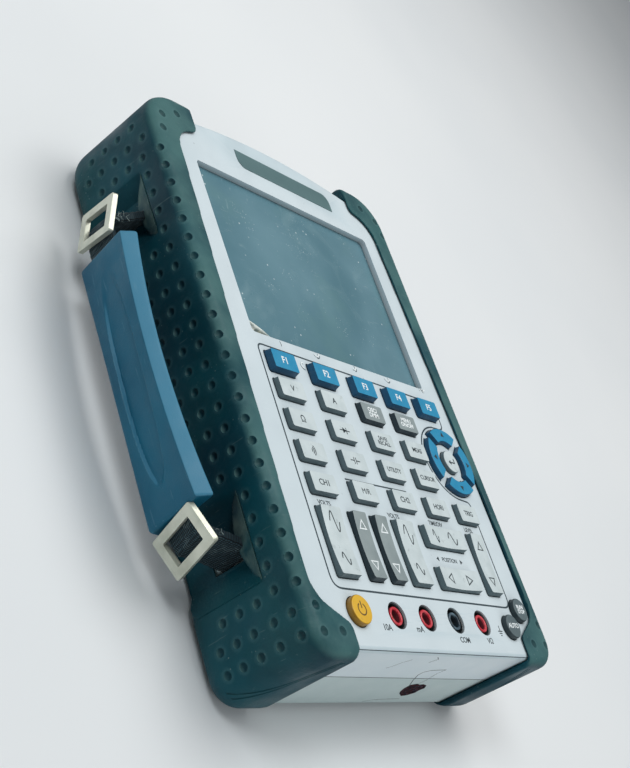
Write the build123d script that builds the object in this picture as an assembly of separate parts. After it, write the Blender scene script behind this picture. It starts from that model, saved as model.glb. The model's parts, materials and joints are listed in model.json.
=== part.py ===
"""Handheld oscilloscope with multimeter, lying on its back with its front face up.

While it is modelled, x = 0 and y = 0 are the middle of the case and z = 0 is the plane it lies on.
+Y points to the top end with the signal inputs, +Z out of the display. Every piece is shifted at the
end, so that the origin is the bottom centre of the box round the whole object. Lengths are in mm,
angles in degrees. A cut runs past the face that it opens by the value called past.
"""

import os
from math import atan2, cos, degrees, hypot, radians, sin

from build123d import *

# ---------------------------------------------------------------- overall size, bumpers included
overall_length = 245.0
overall_width = 163.0
overall_depth = 52.0
past = 1.0
far = 400.0                 # beyond every piece
tiny = 0.1                  # tells two vertices apart

# ---------------------------------------------------------------- rubber bumpers
bumper_side = 6.3           # thickness beside the case
bumper_end = 3.0            # thickness past the end faces
front_lip = 1.6             # height over the front face
rear_lip = 2.8              # height under the rear face
bumper_radius_top = 19.0    # plan corners
bumper_radius_bottom = 11.0
bumper_front_round = 4.5    # long outer edges
bumper_rear_round = 9.0
bumper_gap = 0.1            # between rubber and plastic
front_inset_top = 13.7      # how far the front lip reaches in from the side, top end
front_inset_bottom = 5.9    # and bottom end
lobe_top_length = 15.5      # corner lobes of the front lip, from the end and from the side
lobe_top_reach = 27.9
lobe_top_slope = 5.0
lobe_top_round = 3.5
lobe_bottom_length = 12.0
lobe_bottom_reach = 22.7
lobe_bottom_slope = 10.0
lobe_bottom_round = 13.0
rear_inset = 15.0           # rear lip
rear_lobe_length = 14.0
rear_lobe_slope = 8.0
rear_lobe_round = 6.0
pocket_top = (52.5, 84.5)   # strap pockets in the left bumper, along Y
pocket_bottom = (-90.5, -54.5)
pocket_ramp = 12.0
pocket_floor = 1.0          # reaches in past the side of the case
pocket_end_slope = 2.0
pocket_height = 37.9        # their front wall above the rest plane

# ---------------------------------------------------------------- case shells
wall = 2.5
case_radius = 12.0          # plan corners
case_edge_round = 2.0
parting_height = 28.4       # seam between front and rear shell
top_bow = 9.2               # how far the top end curves back at the sides
boss_radius = 3.2
screw_radius = 1.45
screw_grip = 0.05           # between thread and boss
screw_hole_radius = 1.75
screw_head_radius = 3.2
screw_head_height = 2.4
screw_head_gap = 0.3
screw_head_sink = 0.1
screw_floor = 2.0           # plastic over the screw heads
screw_length = 32.0
screw_cross = (4.4, 0.8, 1.1)      # length, width and depth of the cross recess
screw_top_inset = (11.2, 17.5)     # screw axis from the side and from the end of the case
screw_bottom_inset = (33.2, 22.0)

# ---------------------------------------------------------------- display
window_width = 117.8
window_length = 83.9
window_top_margin = 27.8    # from the top of the case to the window
window_radius = 2.0
lens_thickness = 1.5
lens_margin = 2.5
display_thickness = 7.0
display_gap = 0.2
display_rim = 1.0

# ---------------------------------------------------------------- name plate
badge_width = 66.0
badge_length = 9.2
badge_thickness = 0.5
badge_sink = 0.3
badge_clearance = 0.1
badge_x = 4.9
badge_gap = 13.9            # from the window to the middle of the plate

# ---------------------------------------------------------------- keys
key_clearance = 0.35
key_flange = 0.9            # rim under the panel that keeps a key in
key_flange_thickness = 1.2
key_float = 0.25            # between that rim and the panel
key_travel = 1.2
key_draft = 12.0            # slope of a key's sides, degrees
key_corner = 1.2
key_width = 15.3
key_length = 8.7
key_height = 2.3
soft_key_length = 9.2
soft_key_height = 3.0
key_side_margin = 17.6      # from the side of the case to the outer keys
key_column_shift = (1.5, 2.3, 3.7, 3.2, 1.9)
soft_key_gap = 12.6         # from the window to the middle of the first row
second_row_gap = 12.0
row_pitch = 13.2
rocker_gap = 4.8            # between the last key row and the rockers
rocker_length = 27.4
rocker_height = 2.6
rocker_saddle = 0.9         # how far the middle of a rocker dips
rocker_float = 0.8
wide_rocker_width = 29.0
wide_rocker_length = 9.4
rocker_shift = (1.1, 1.1, -0.7, -1.8, -1.2, -1.6)
rocker_widths = (12.4, 8.8, 8.4, 12.0, wide_rocker_width, 10.2)
ring_outer_radius = 16.3
ring_inner_radius = 9.6
ring_slot = 3.4             # between two arrow keys
ring_flange = 0.6           # their rim under the panel
ring_draft = 8.0
ring_side_gap = 0.3         # from the inside of the side wall to the rim of the arrow keys
ring_drop = 25.7            # from the first key row to the middle of the ring
enter_radius = 5.4
enter_height = 2.0
power_radius = 5.5
power_height = 2.4
power_side_margin = 23.5
round_key_radius = 5.1
round_key_height = 2.2
round_key_edge = 0.6
run_margin = (10.4, 20.6)   # run/stop: from the side and from the bottom end of the case
auto_margin = (21.9, 12.9)  # auto: the same

# ---------------------------------------------------------------- multimeter jacks
jack_pitch = 19.9
jack_middle_x = 2.8
jack_margin = 14.1          # from the bottom end of the case
jack_recess_radius = 5.3
jack_tube_radius = 3.6
jack_tube_clearance = 0.1
jack_tube_drop = 0.4        # its mouth below the front face
jack_contact_radius = 2.0
jack_contact_wall = 0.5
jack_well_wall = 1.2
jack_floor = 2.0
jack_contact_length = 18.0
jack_contact_depth = 3.0
jack_depth = 22.5
jack_foot = (2.0, 1.5)      # height and width of the tube's foot under the well
jack_contact_gap = 0.05
jack_contact_floor = 2.0

# ---------------------------------------------------------------- boards and battery
board_thickness = 1.6
board_clearance = 0.6       # round the screw bosses
keypad_drop = 3.6           # from the panel's underside to the keypad board
keypad_side_gap = 10.5      # from the inside of the case to the keypad board
keypad_end_gap = 1.5
keypad_top_gap = 7.0
dome_radius = 3.0
dome_height = 0.8
main_board_height = 23.0
main_board_margins = (15.0, 25.0, 30.0)    # sides, top end and bottom end of the case
input_stage = (36.0, 42.5, 6.0)            # width, length and height of each screened input stage
capacitor_radius = 4.0
capacitor_height = 9.0
capacitor_x = (-40.0, -26.0, 30.0, 44.0)
capacitor_y = -70.0
board_chips = (             # each chip's two sides, two ends and height
    (-16.0, 16.0, -10.0, 22.0, 2.2),
    (-50.0, -30.0, -20.0, 0.0, 3.0),
    (28.0, 52.0, -40.0, -10.0, 4.0),
)
battery_width = 68.0
battery_length = 52.0
battery_thickness = 14.0
battery_y = -78.0
battery_clearance = 0.5
battery_round = 3.0
cover_thickness = 2.0
cover_margin = 3.0
cover_clearance = 0.2
bay_wall = 2.0
grip_grooves = (5, 20.0, 1.2, 2.4, 0.6)    # on the cover: number, length, width, pitch and depth
grip_groove_inset = 4.0

# ---------------------------------------------------------------- tilt stand
stand_width = 84.0
stand_length = 92.0
stand_thickness = 3.0
stand_frame = 16.0          # width of its legs and foot
stand_clearance = 0.6
stand_depth = 0.6           # its outer face below the rear face
stand_hinge_y = 78.0
stand_pin_radius = 1.5
stand_pin_length = 4.0
pin_clearance = 0.05
stand_finger_gap = 6.0      # room for a finger at its foot

# ---------------------------------------------------------------- top end sockets
bnc_x = 34.0
bnc_flange_radius = 7.6
bnc_barrel_radius = 4.85
bnc_bore_radius = 4.05
bnc_barrel_length = 11.0
bnc_thread_length = 9.0
bnc_lug_radius = 1.0
bnc_lug_rise = 0.8
bnc_lug_setback = 4.5       # from the barrel's mouth
bnc_flange_thickness = 2.0
bnc_face_inset = 0.8        # flat face of a pad, from the furthest point of the bowed end
bnc_plug = (3.0, 2.4, 2.5)  # insulator: length of the wide part, radius and setback of the rest
bnc_pin_radius = 0.7
pad_margin = 1.0            # of the pads round the sockets
pad_depth = 5.0
flap_width = 38.0
flap_height = 12.0
flap_thickness = 2.0
flap_clearance = 0.35
flap_inset = 0.4            # its outer face from the end of the case
flap_frame = 2.0            # pad round it
flap_frame_depth = 6.0
flap_frame_inset = 1.0
flap_tab = (12.0, 1.7, 0.8)        # width, height and rise of its pull
flap_tab_drop = 0.8
port_width = 28.0           # opening for the sockets behind the flap
port_height = 9.0
port_opening_depth = 15.0
port_gap = 1.4              # between flap and sockets
port_depth = 9.0
power_port = (9.0, 8.4, 3.1, 0.9)  # width, height, radius of its hole and of its pin
usb_port = (10.7, 6.0, 1.2, 1.0)   # width, height, wall and thickness of its tongue
port_hole_depth = 7.0
port_side = 0.3

# ---------------------------------------------------------------- hand strap
strap_stand_off = 18.3      # grip centre, out from the side of the case
strap_height = 27.2         # its middle above the plane the object lies on
strap_tilt = 9.0            # the front edge leans outwards, degrees
grip_top_y = 46.5
grip_bottom_y = -63.0
grip_width = 30.0
grip_waist = 4.6
grip_thickness = 6.2
grip_bow = 3.1
webbing_width = 17.5
webbing_thickness = 1.2
buckle_width = 27.0
buckle_length = 16.0
buckle_thickness = 2.0
buckle_window = (18.4, 9.4)
buckle_corner = 1.0
buckle_inset = 1.8          # from the grip's middle plane towards the case
buckle_drop = 3.0
buckle_top = (62.5, -103.0, -22.0, 14.0)     # y, direction along the strap, roll and twist
buckle_bottom = (-71.0, -70.0, 9.5, 14.0)
strap_bar_radius = 1.6
strap_bar_depth = 1.7       # axis of the bars, in from the side of the shells
strap_pocket_depth = 8.7
strap_pocket_height = 25.0
strap_pocket_width = 22.0
strap_bar_offset = (-4.0, 3.0)     # from the middle of the deep part of each pocket
strap_bar_ends = (1.0, 0.1)        # past the well at its lower and upper end
webbing_drop = 2.0
loop_gap = 3.2              # inside radius of the webbing's turns at the bars
tail_gap = 1.9              # and between buckle and grip

# ---------------------------------------------------------------- places that follow from them
half_length = overall_length / 2
half_width = overall_width / 2
case_half_width = half_width - bumper_side
case_end = half_length - bumper_end
front_height = overall_depth - front_lip
panel_under = front_height - wall
window_top = case_end - window_top_margin
window_y = window_top - window_length / 2
row_1_y = window_y - window_length / 2 - soft_key_gap
row_y = [row_1_y] + [row_1_y - second_row_gap - row_pitch * i for i in range(4)]
key_left = -case_half_width + key_side_margin
key_right = case_half_width - key_side_margin
column_pitch = (key_right - key_left - key_width) / 4
column_x = [key_left + key_width / 2 + column_pitch * i + key_column_shift[i] for i in range(5)]
rocker_top = row_y[4] - key_length / 2 - rocker_gap
rocker_y = rocker_top - rocker_length / 2
ring_x = case_half_width - wall - ring_side_gap - ring_flange - ring_outer_radius
ring_y = row_1_y - ring_drop
jack_y = -case_end + jack_margin
jack_x = [jack_middle_x + jack_pitch * (i - 1.5) for i in range(4)]
strap_x = -case_half_width - bumper_side - strap_stand_off
strap_bar_x = -case_half_width + strap_bar_depth
buckle_x = strap_x + buckle_inset
buckle_height = strap_height - buckle_drop
bnc_face_y = case_end - bnc_face_inset
stand_pin_height = rear_lip + stand_depth + stand_thickness / 2
flap_hinge_y = case_end - flap_inset - flap_thickness / 2
flap_hinge_z = parting_height - flap_height / 2 + flap_thickness / 2
battery_top = rear_lip + cover_thickness + 2 * battery_clearance + battery_thickness


# ---------------------------------------------------------------- helpers
def block(x0, x1, y0, y1, z0, z1):
    """A box between two corners."""
    centre = Pos((x0 + x1) / 2, (y0 + y1) / 2, (z0 + z1) / 2)
    return centre * Box(x1 - x0, y1 - y0, z1 - z0)


def disc(x, y, z0, z1, radius):
    """An upright cylinder from z0 to z1."""
    return Pos(x, y, (z0 + z1) / 2) * Cylinder(radius, z1 - z0)


def lying(x, y0, y1, z, radius):
    """A cylinder along Y."""
    return Pos(x, (y0 + y1) / 2, z) * Rot(90, 0, 0) * Cylinder(radius, y1 - y0)


def halves(solid, z0, z1):
    """The part of a solid between two heights."""
    return solid & block(-far, far, -far, far, z0, z1)


def case_outline(grow):
    """Plan of the two shells, moved outwards by grow: straight sides, a bowed top end."""
    x = case_half_width + grow
    end = case_end + grow
    shoulder = end - top_bow
    edge = Polyline((-x, shoulder), (-x, -end), (x, -end), (x, shoulder))
    edge += ThreePointArc((x, shoulder), (0, end), (-x, shoulder))
    face = make_face(edge)
    return fillet(face.vertices(), case_radius + grow)


def case_block(grow, z0, z1):
    """The plan of the shells, moved outwards by grow, from z0 to z1."""
    return extrude(Pos(0, 0, z0) * case_outline(grow), z1 - z0)


def screw_places():
    """Axes of the four case screws."""
    top_x = case_half_width - screw_top_inset[0]
    top_y = case_end - screw_top_inset[1]
    bottom_x = case_half_width - screw_bottom_inset[0]
    bottom_y = screw_bottom_inset[1] - case_end
    return [(-top_x, top_y), (top_x, top_y), (-bottom_x, bottom_y), (bottom_x, bottom_y)]


# ---------------------------------------------------------------- keys
def key_plan(width, length, grow=0.0):
    return RectangleRounded(width + 2 * grow, length + 2 * grow, key_corner)


def round_plan(radius, grow=0.0):
    return Circle(radius + grow)


def arrow_plan(turn, grow=0.0):
    """One quarter of the arrow ring, its middle turned from +Y by turn degrees."""
    ring = Circle(ring_outer_radius + grow) - Circle(ring_inner_radius - grow)
    size = 2 * ring_outer_radius
    corner = size / 2 + ring_slot / 2 - grow
    wedge = Rot(0, 0, 45) * Pos(corner, corner) * Rectangle(size, size)
    return Rot(0, 0, turn) * (ring & wedge)


def key_body(plan, height, float_gap=key_float, draft=key_draft):
    """A key in its opening, pressed along -Z: stem, sloped cap and the rim that keeps it in."""
    rim_top = panel_under - float_gap
    stem_top = front_height + key_clearance
    rim = extrude(Pos(0, 0, rim_top - key_flange_thickness) * plan(key_flange), key_flange_thickness)
    stem = extrude(Pos(0, 0, rim_top) * plan(0.0), stem_top - rim_top)
    cap = extrude(Pos(0, 0, stem_top) * plan(0.0), front_height + height - stem_top, taper=draft)
    return rim + stem + cap


def rocker_body(width, length):
    """A two-way key, lower in the middle of its long side."""
    body = key_body(lambda grow: key_plan(width, length, grow), rocker_height, rocker_float)
    reach = max(width, length) / 2
    radius = reach ** 2 / (2 * rocker_saddle)
    groove = Pos(0, 0, front_height + rocker_height - rocker_saddle + radius)
    if length > width:
        groove = groove * Rot(0, 90, 0) * Cylinder(radius, 2 * width)
    else:
        groove = groove * Rot(90, 0, 0) * Cylinder(radius, 2 * length)
    return body - groove


def key_table():
    """Every key: name, middle, plan of its opening and its body at the origin."""
    table = []

    def add(name, x, y, plan, body):
        table.append((name, x, y, plan, body))

    def add_key(name, column, row, length, height):
        def plan(grow=0.0):
            return key_plan(key_width, length, grow)

        add(name, column_x[column], row_y[row], plan, key_body(plan, height))

    for column in range(5):
        add_key(f"key_f{column + 1}", column, 0, soft_key_length, soft_key_height)
    rows = [
        ["key_volts", "key_amps", "key_scope_meter", "key_menu_toggle"],
        ["key_ohms", "key_diode", "key_save", "key_measure"],
        ["key_continuity", "key_capacitance", "key_utility", "key_cursor"],
        ["key_channel_1", "key_math_reference", "key_channel_2", "key_horizontal", "key_trigger"],
    ]
    for row, names in enumerate(rows, start=1):
        for column, name in enumerate(names):
            add_key(name, column, row, key_length, key_height)

    def add_rocker(name, x, y, width, length):
        def plan(grow=0.0):
            return key_plan(width, length, grow)

        add(name, x, y, plan, rocker_body(width, length))

    gap = (key_right - key_left - sum(rocker_widths)) / (len(rocker_widths) - 1)
    left = key_left
    rockers = ["volts_1", "position_1", "position_2", "volts_2", "time_base", "level"]
    for name, width, shift in zip(rockers, rocker_widths, rocker_shift):
        x = left + width / 2 + shift
        left += width + gap
        if name == "time_base":
            wide_y = rocker_top - wide_rocker_length / 2
            add_rocker("rocker_time_base", x, wide_y, width, wide_rocker_length)
            wide_y = rocker_top - rocker_length + wide_rocker_length / 2
            add_rocker("rocker_position", x, wide_y, width, wide_rocker_length)
        else:
            add_rocker(f"rocker_{name}", x, rocker_y, width, rocker_length)

    for name, turn in (("up", 0), ("left", 90), ("down", 180), ("right", 270)):
        def ring_plan(grow=0.0, turn=turn):
            return arrow_plan(turn, min(grow, ring_flange))

        body = key_body(ring_plan, key_height, draft=ring_draft)
        add(f"arrow_{name}", ring_x, ring_y, ring_plan, body)

    def add_round(name, x, y, radius, height):
        def plan(grow=0.0):
            return round_plan(radius, grow)

        body = key_body(plan, height, draft=0)
        top = body.faces().sort_by(Axis.Z)[-1]
        add(name, x, y, plan, fillet(top.edges(), round_key_edge))

    add_round("key_enter", ring_x, ring_y, enter_radius, enter_height)
    add_round("key_power", power_side_margin - case_half_width, jack_y, power_radius, power_height)
    run_x = case_half_width - run_margin[0]
    add_round("key_run_stop", run_x, run_margin[1] - case_end, round_key_radius, round_key_height)
    auto_x = case_half_width - auto_margin[0]
    add_round("key_auto", auto_x, auto_margin[1] - case_end, round_key_radius, round_key_height)
    return table


# ---------------------------------------------------------------- strap bars and their pockets
def strap_bar_places():
    """Y of the two moulded bars, near the middle of the deep part of each pocket."""
    top = (pocket_top[0] + pocket_ramp + pocket_top[1]) / 2
    bottom = (pocket_bottom[0] + pocket_bottom[1] - pocket_ramp) / 2
    return [top + strap_bar_offset[0], bottom + strap_bar_offset[1]]


def strap_wells(grow, z0, z1):
    """Space behind the bars, grown by the wall when it makes the tub round it."""
    wells = []
    half = strap_pocket_width / 2 + grow
    outer = -case_half_width - past + grow
    inner = -case_half_width + strap_pocket_depth + grow
    low = max(strap_height - strap_pocket_height / 2 - grow, z0)
    high = min(strap_height + strap_pocket_height / 2 + grow, z1)
    for y in strap_bar_places():
        wells.append(block(outer, inner, y - half, y + half, low, high))
    return wells


# ---------------------------------------------------------------- case
def socket_cuts():
    """What the top end sockets take out of the end wall of both shells."""
    cuts = []
    z = parting_height
    hole_radius = bnc_barrel_radius + key_clearance
    for x in (-bnc_x, bnc_x):
        cuts.append(lying(x, bnc_face_y - 2 * bnc_thread_length, case_end + past, z, hole_radius))
        cuts.append(lying(x, bnc_face_y, case_end + past, z, bnc_flange_radius + key_clearance))
    half_x = flap_width / 2 + flap_clearance
    half_z = flap_height / 2 + flap_clearance
    back = case_end - flap_thickness - past
    cuts.append(block(-half_x, half_x, back, case_end + past, z - half_z, z + half_z))
    half_x = port_width / 2
    half_z = port_height / 2
    back = case_end - port_opening_depth
    cuts.append(block(-half_x, half_x, back, case_end, z - half_z, z + half_z))
    return cuts


def socket_pads():
    """Flat pads for the sockets, inside and outside the bowed end wall."""
    pads = []
    half = bnc_flange_radius + pad_margin
    for x in (-bnc_x, bnc_x):
        pads.append(block(x - half, x + half, case_end - pad_depth, bnc_face_y,
                          parting_height - half, parting_height + half))
    half_x = flap_width / 2 + flap_frame
    half_z = flap_height / 2 + flap_frame
    pads.append(block(-half_x, half_x, case_end - flap_frame_depth, case_end - flap_frame_inset,
                      parting_height - half_z, parting_height + half_z))
    return pads


def front_shell(keys):
    """Front half of the case: panel, display opening, key openings, jack wells and screw bosses."""
    outer = case_block(0, parting_height, front_height)
    outer = fillet(outer.faces().sort_by(Axis.Z)[-1].edges(), case_edge_round)
    body = outer - case_block(-wall, parting_height - past, panel_under)
    for tub in strap_wells(wall, parting_height, front_height):
        body += tub
    for pad in socket_pads():
        body += halves(pad, parting_height, front_height)
    screw_top = rear_lip + screw_head_height + screw_length
    for x, y in screw_places():
        body += disc(x, y, parting_height, panel_under, boss_radius)
        body -= disc(x, y, parting_height - past, screw_top + past, screw_radius + screw_grip)
    well_bottom = front_height - jack_depth
    for x in jack_x:
        body += disc(x, jack_y, well_bottom, panel_under, jack_recess_radius + jack_well_wall)
    for x in jack_x:
        body -= disc(x, jack_y, well_bottom + jack_floor, overall_depth, jack_recess_radius)
        body -= disc(x, jack_y, well_bottom - past, overall_depth, jack_tube_radius + jack_tube_clearance)
    window = RectangleRounded(window_width, window_length, window_radius)
    body -= extrude(Pos(0, window_y, panel_under - past) * window, wall + 2 * past)
    body -= Pos(0, 0, front_height - badge_sink) * badge_solid(badge_clearance)
    for name, x, y, plan, solid in keys:
        body -= extrude(Pos(x, y, panel_under - past) * plan(key_clearance), wall + 2 * past)
    for well in strap_wells(0, parting_height - past, front_height):
        body -= well
    for cut in socket_cuts():
        body -= halves(cut, parting_height - past, front_height)
    return body


def badge_solid(grow=0.0):
    """Blank name plate: two sharp and two rounded corners."""
    x = badge_width / 2 + grow
    y = badge_length / 2 + grow
    face = make_face(Polyline((-x, y), (x, y), (x, -y), (-x, -y), close=True))
    rounded = [v for v in face.vertices() if v.X * v.Y > 0]
    face = fillet(rounded, badge_length / 2)
    centre_y = window_y + window_length / 2 + badge_gap
    return Pos(badge_x, centre_y, 0) * extrude(face, badge_thickness)


def rear_shell():
    """Rear half of the case: battery bay, stand recess, screw holes and the two strap bars."""
    outer = case_block(0, rear_lip, parting_height)
    outer = fillet(outer.faces().sort_by(Axis.Z)[0].edges(), case_edge_round)
    body = outer - case_block(-wall, rear_lip + wall, parting_height + past)
    for tub in strap_wells(wall, rear_lip, parting_height):
        body += tub
    for pad in socket_pads():
        body += halves(pad, rear_lip, parting_height)

    head_top = rear_lip + screw_head_height
    for x, y in screw_places():
        body += disc(x, y, rear_lip, parting_height, boss_radius)
        body += disc(x, y, rear_lip, head_top + screw_floor, screw_head_radius + bay_wall)

    bay_x = battery_width / 2 + battery_clearance
    bay_y = battery_length / 2 + battery_clearance
    cover_x = bay_x + cover_margin
    cover_y = bay_y + cover_margin
    cover_top = rear_lip + cover_thickness
    body += around_battery(cover_x + bay_wall, cover_y + bay_wall, rear_lip, cover_top + wall)
    body += around_battery(bay_x + bay_wall, bay_y + bay_wall, rear_lip, battery_top + bay_wall)
    body -= around_battery(bay_x, bay_y, rear_lip - past, battery_top)
    body -= around_battery(cover_x + cover_clearance, cover_y + cover_clearance,
                           rear_lip - past, cover_top)

    side = stand_width / 2 + stand_clearance
    top = stand_hinge_y + stand_thickness / 2 + stand_clearance
    foot = stand_hinge_y - stand_length - stand_clearance - stand_finger_gap
    ceiling = rear_lip + stand_depth + stand_thickness + stand_clearance
    edge = side + stand_pin_length + bay_wall
    body += block(-edge, edge, foot - bay_wall, top + bay_wall, rear_lip, ceiling + bay_wall)
    body -= block(-side, side, foot, top, rear_lip - past, ceiling)
    pin_hole = Pos(0, stand_hinge_y, stand_pin_height) * Rot(0, 90, 0)
    body -= pin_hole * Cylinder(stand_pin_radius + pin_clearance, 2 * (side + stand_pin_length))

    for x, y in screw_places():
        body -= disc(x, y, rear_lip - past, parting_height + past, screw_hole_radius)
        head_hole = screw_head_radius + screw_head_gap
        body -= disc(x, y, rear_lip - past, head_top + 2 * screw_head_sink, head_hole)
    for well in strap_wells(0, rear_lip, parting_height + past):
        body -= well
    for cut in socket_cuts():
        body -= halves(cut, rear_lip, parting_height + past)
    bar_low = strap_height - strap_pocket_height / 2 - strap_bar_ends[0]
    bar_high = strap_height + strap_pocket_height / 2 - strap_bar_ends[1]
    for y in strap_bar_places():
        body += disc(strap_bar_x, y, bar_low, bar_high, strap_bar_radius)
    return body


def around_battery(half_x, half_y, z0, z1):
    """A box centred on the battery."""
    return block(-half_x, half_x, battery_y - half_y, battery_y + half_y, z0, z1)


def case_screws():
    """Four screws with a cross recess."""
    screws = []
    length, width, depth = screw_cross
    low = rear_lip + screw_head_sink
    for x, y in screw_places():
        head = disc(x, y, low, low + screw_head_height, screw_head_radius)
        head -= block(x - length / 2, x + length / 2, y - width / 2, y + width / 2, rear_lip, low + depth)
        head -= block(x - width / 2, x + width / 2, y - length / 2, y + length / 2, rear_lip, low + depth)
        shank_low = rear_lip + screw_head_height
        screws.append(head + disc(x, y, shank_low, shank_low + screw_length, screw_radius))
    return screws


def tilt_stand():
    """Folding frame on two pins, flush in the rear of the case when it is shut."""
    low = rear_lip + stand_depth
    high = low + stand_thickness
    x = stand_width / 2
    foot = stand_hinge_y - stand_length
    plate = block(-x, x, foot, stand_hinge_y, low, high)
    plate -= block(-x + stand_frame, x - stand_frame, foot + stand_frame, stand_hinge_y - stand_frame,
                   low - past, high + past)
    barrel = Pos(0, stand_hinge_y, stand_pin_height) * Rot(0, 90, 0)
    plate += barrel * Cylinder(stand_thickness / 2, stand_width)
    pin_end = x + stand_clearance + stand_pin_length - pin_clearance
    plate += barrel * Cylinder(stand_pin_radius, 2 * pin_end)
    return plate


def battery_cover():
    """Cover with a grooved patch for the thumb."""
    x = battery_width / 2 + battery_clearance + cover_margin
    y = battery_length / 2 + battery_clearance + cover_margin
    plate = around_battery(x, y, rear_lip, rear_lip + cover_thickness)
    count, length, width, pitch, depth = grip_grooves
    for i in range(count):
        groove = battery_y + y - grip_groove_inset - pitch * i
        plate -= block(-length / 2, length / 2, groove - width / 2, groove + width / 2,
                       rear_lip - past, rear_lip + depth)
    return plate


def battery_pack():
    low = rear_lip + cover_thickness + battery_clearance
    pack = around_battery(battery_width / 2, battery_length / 2, low, low + battery_thickness)
    return fillet(pack.edges().filter_by(Axis.Y), battery_round)


# ---------------------------------------------------------------- bumpers
def lip_outline():
    """What the front lips of the two bumpers leave open."""
    top = half_length - lobe_top_length
    bottom = lobe_bottom_length - half_length
    right = [
        (half_width - lobe_top_reach, far),
        (half_width - lobe_top_reach, top),
        (half_width - front_inset_top, top - lobe_top_slope),
        (half_width - front_inset_bottom, bottom + lobe_bottom_slope),
        (half_width - lobe_bottom_reach, bottom),
        (half_width - lobe_bottom_reach, -far),
    ]
    left = [(-x, y) for x, y in reversed(right)]
    face = make_face(Polyline(*right, *left, close=True))
    sides = [v for v in face.vertices() if bottom < v.Y - tiny and v.Y + tiny < top]
    face = fillet(sides, lobe_bottom_round)
    lobes = [v for v in face.vertices() if abs(v.Y - top) < tiny or abs(v.Y - bottom) < tiny]
    return fillet(lobes, lobe_top_round)


def rear_lip_outline():
    """What the rear lips of the two bumpers leave open."""
    x = half_width - rear_inset
    end_x = half_width - lobe_bottom_reach
    y = half_length - rear_lobe_length
    slope_y = y - rear_lobe_slope
    right = [(end_x, far), (end_x, y), (x, slope_y), (x, -slope_y), (end_x, -y), (end_x, -far)]
    left = [(-px, py) for px, py in reversed(right)]
    face = make_face(Polyline(*right, *left, close=True))
    inner = [v for v in face.vertices() if abs(v.Y) < half_length]
    return fillet(inner, rear_lobe_round)


def bumper_ring():
    """Both bumpers in one ring, before the middle of the ends is cut out."""
    plan = Rectangle(overall_width, overall_length)
    plan = fillet([v for v in plan.vertices() if v.Y > 0], bumper_radius_top)
    plan = fillet([v for v in plan.vertices() if v.Y < tiny - half_length], bumper_radius_bottom)
    ring = extrude(plan, overall_depth)
    ring = fillet(ring.faces().sort_by(Axis.Z)[-1].edges(), bumper_front_round)
    ring = fillet(ring.faces().sort_by(Axis.Z)[0].edges(), bumper_rear_round)
    ring -= case_block(bumper_gap, rear_lip - bumper_gap, front_height + bumper_gap)
    ring -= extrude(Pos(0, 0, front_height - past) * lip_outline(), front_lip + 2 * past)
    ring -= extrude(Pos(0, 0, -past) * rear_lip_outline(), rear_lip + 2 * past)
    top_reach = half_width - lobe_top_reach
    bottom_reach = half_width - lobe_bottom_reach
    ring -= block(-top_reach, top_reach, 0, far, -past, overall_depth + past)
    ring -= block(-bottom_reach, bottom_reach, -far, 0, -past, overall_depth + past)
    return ring


def strap_pocket(span, deep_end):
    """Hollow beside a strap bar: deep at deep_end, sloping out at the other end of its span."""
    low, high = span
    inner = -case_half_width + pocket_floor
    outer = -half_width - past
    if deep_end > 0:
        ramp = (inner, low + pocket_ramp)
        end = (inner, high - pocket_end_slope)
        plan = Polyline((outer, low), ramp, end, (outer, high), close=True)
    else:
        ramp = (inner, high - pocket_ramp)
        end = (inner, low + pocket_end_slope)
        plan = Polyline((outer, high), ramp, end, (outer, low), close=True)
    return extrude(Pos(0, 0, -past) * make_face(plan), pocket_height + past)


def bumpers():
    """Left and right bumper."""
    ring = bumper_ring()
    left = ring & block(-far, 0, -far, far, -far, far)
    right = ring & block(0, far, -far, far, -far, far)
    left -= strap_pocket(pocket_top, 1)
    left -= strap_pocket(pocket_bottom, -1)
    return left, right


# ---------------------------------------------------------------- display and boards
def display_window():
    width = window_width + 2 * lens_margin
    length = window_length + 2 * lens_margin
    plan = RectangleRounded(width, length, window_radius)
    return extrude(Pos(0, window_y, panel_under - lens_thickness) * plan, lens_thickness)


def lcd_module():
    """Display glass in its metal frame."""
    high = panel_under - lens_thickness - display_gap
    size = Box(window_width + 2 * display_rim, window_length + 2 * display_rim, display_thickness)
    frame = Pos(0, window_y, high - display_thickness / 2) * size
    return fillet(frame.edges().filter_by(Axis.Z), display_rim)


def clear_of_bosses(board):
    """A board without the places where the screw bosses pass."""
    for x, y in screw_places():
        board -= disc(x, y, rear_lip, panel_under, boss_radius + board_clearance)
    return board


def keypad_board():
    """Board under the keys, with a dome under each of the rectangular ones."""
    high = panel_under - keypad_drop
    x = case_half_width - wall - keypad_side_gap
    low_y = rocker_top - rocker_length - keypad_end_gap
    board = block(-x, x, low_y, row_y[0] + keypad_top_gap, high - board_thickness, high)
    for column in column_x:
        for row in row_y:
            if abs(column) + dome_radius < x:
                board += disc(column, row, high, high + dome_height, dome_radius)
    return clear_of_bosses(board)


def main_board():
    """Main board with its screened input stages, chips and capacitors."""
    side, top_gap, bottom_gap = main_board_margins
    x = case_half_width - side
    end = case_end - top_gap
    low = main_board_height
    top = low + board_thickness
    board = block(-x, x, bottom_gap - case_end, end, low, top)
    width, length, height = input_stage
    for centre in (-bnc_x, bnc_x):
        board += block(centre - width / 2, centre + width / 2, end - length, end, top, top + height)
    for x0, x1, y0, y1, height in board_chips:
        board += block(x0, x1, y0, y1, top, top + height)
    for centre in capacitor_x:
        board += disc(centre, capacitor_y, top, top + capacitor_height, capacitor_radius)
    return clear_of_bosses(board)


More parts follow.
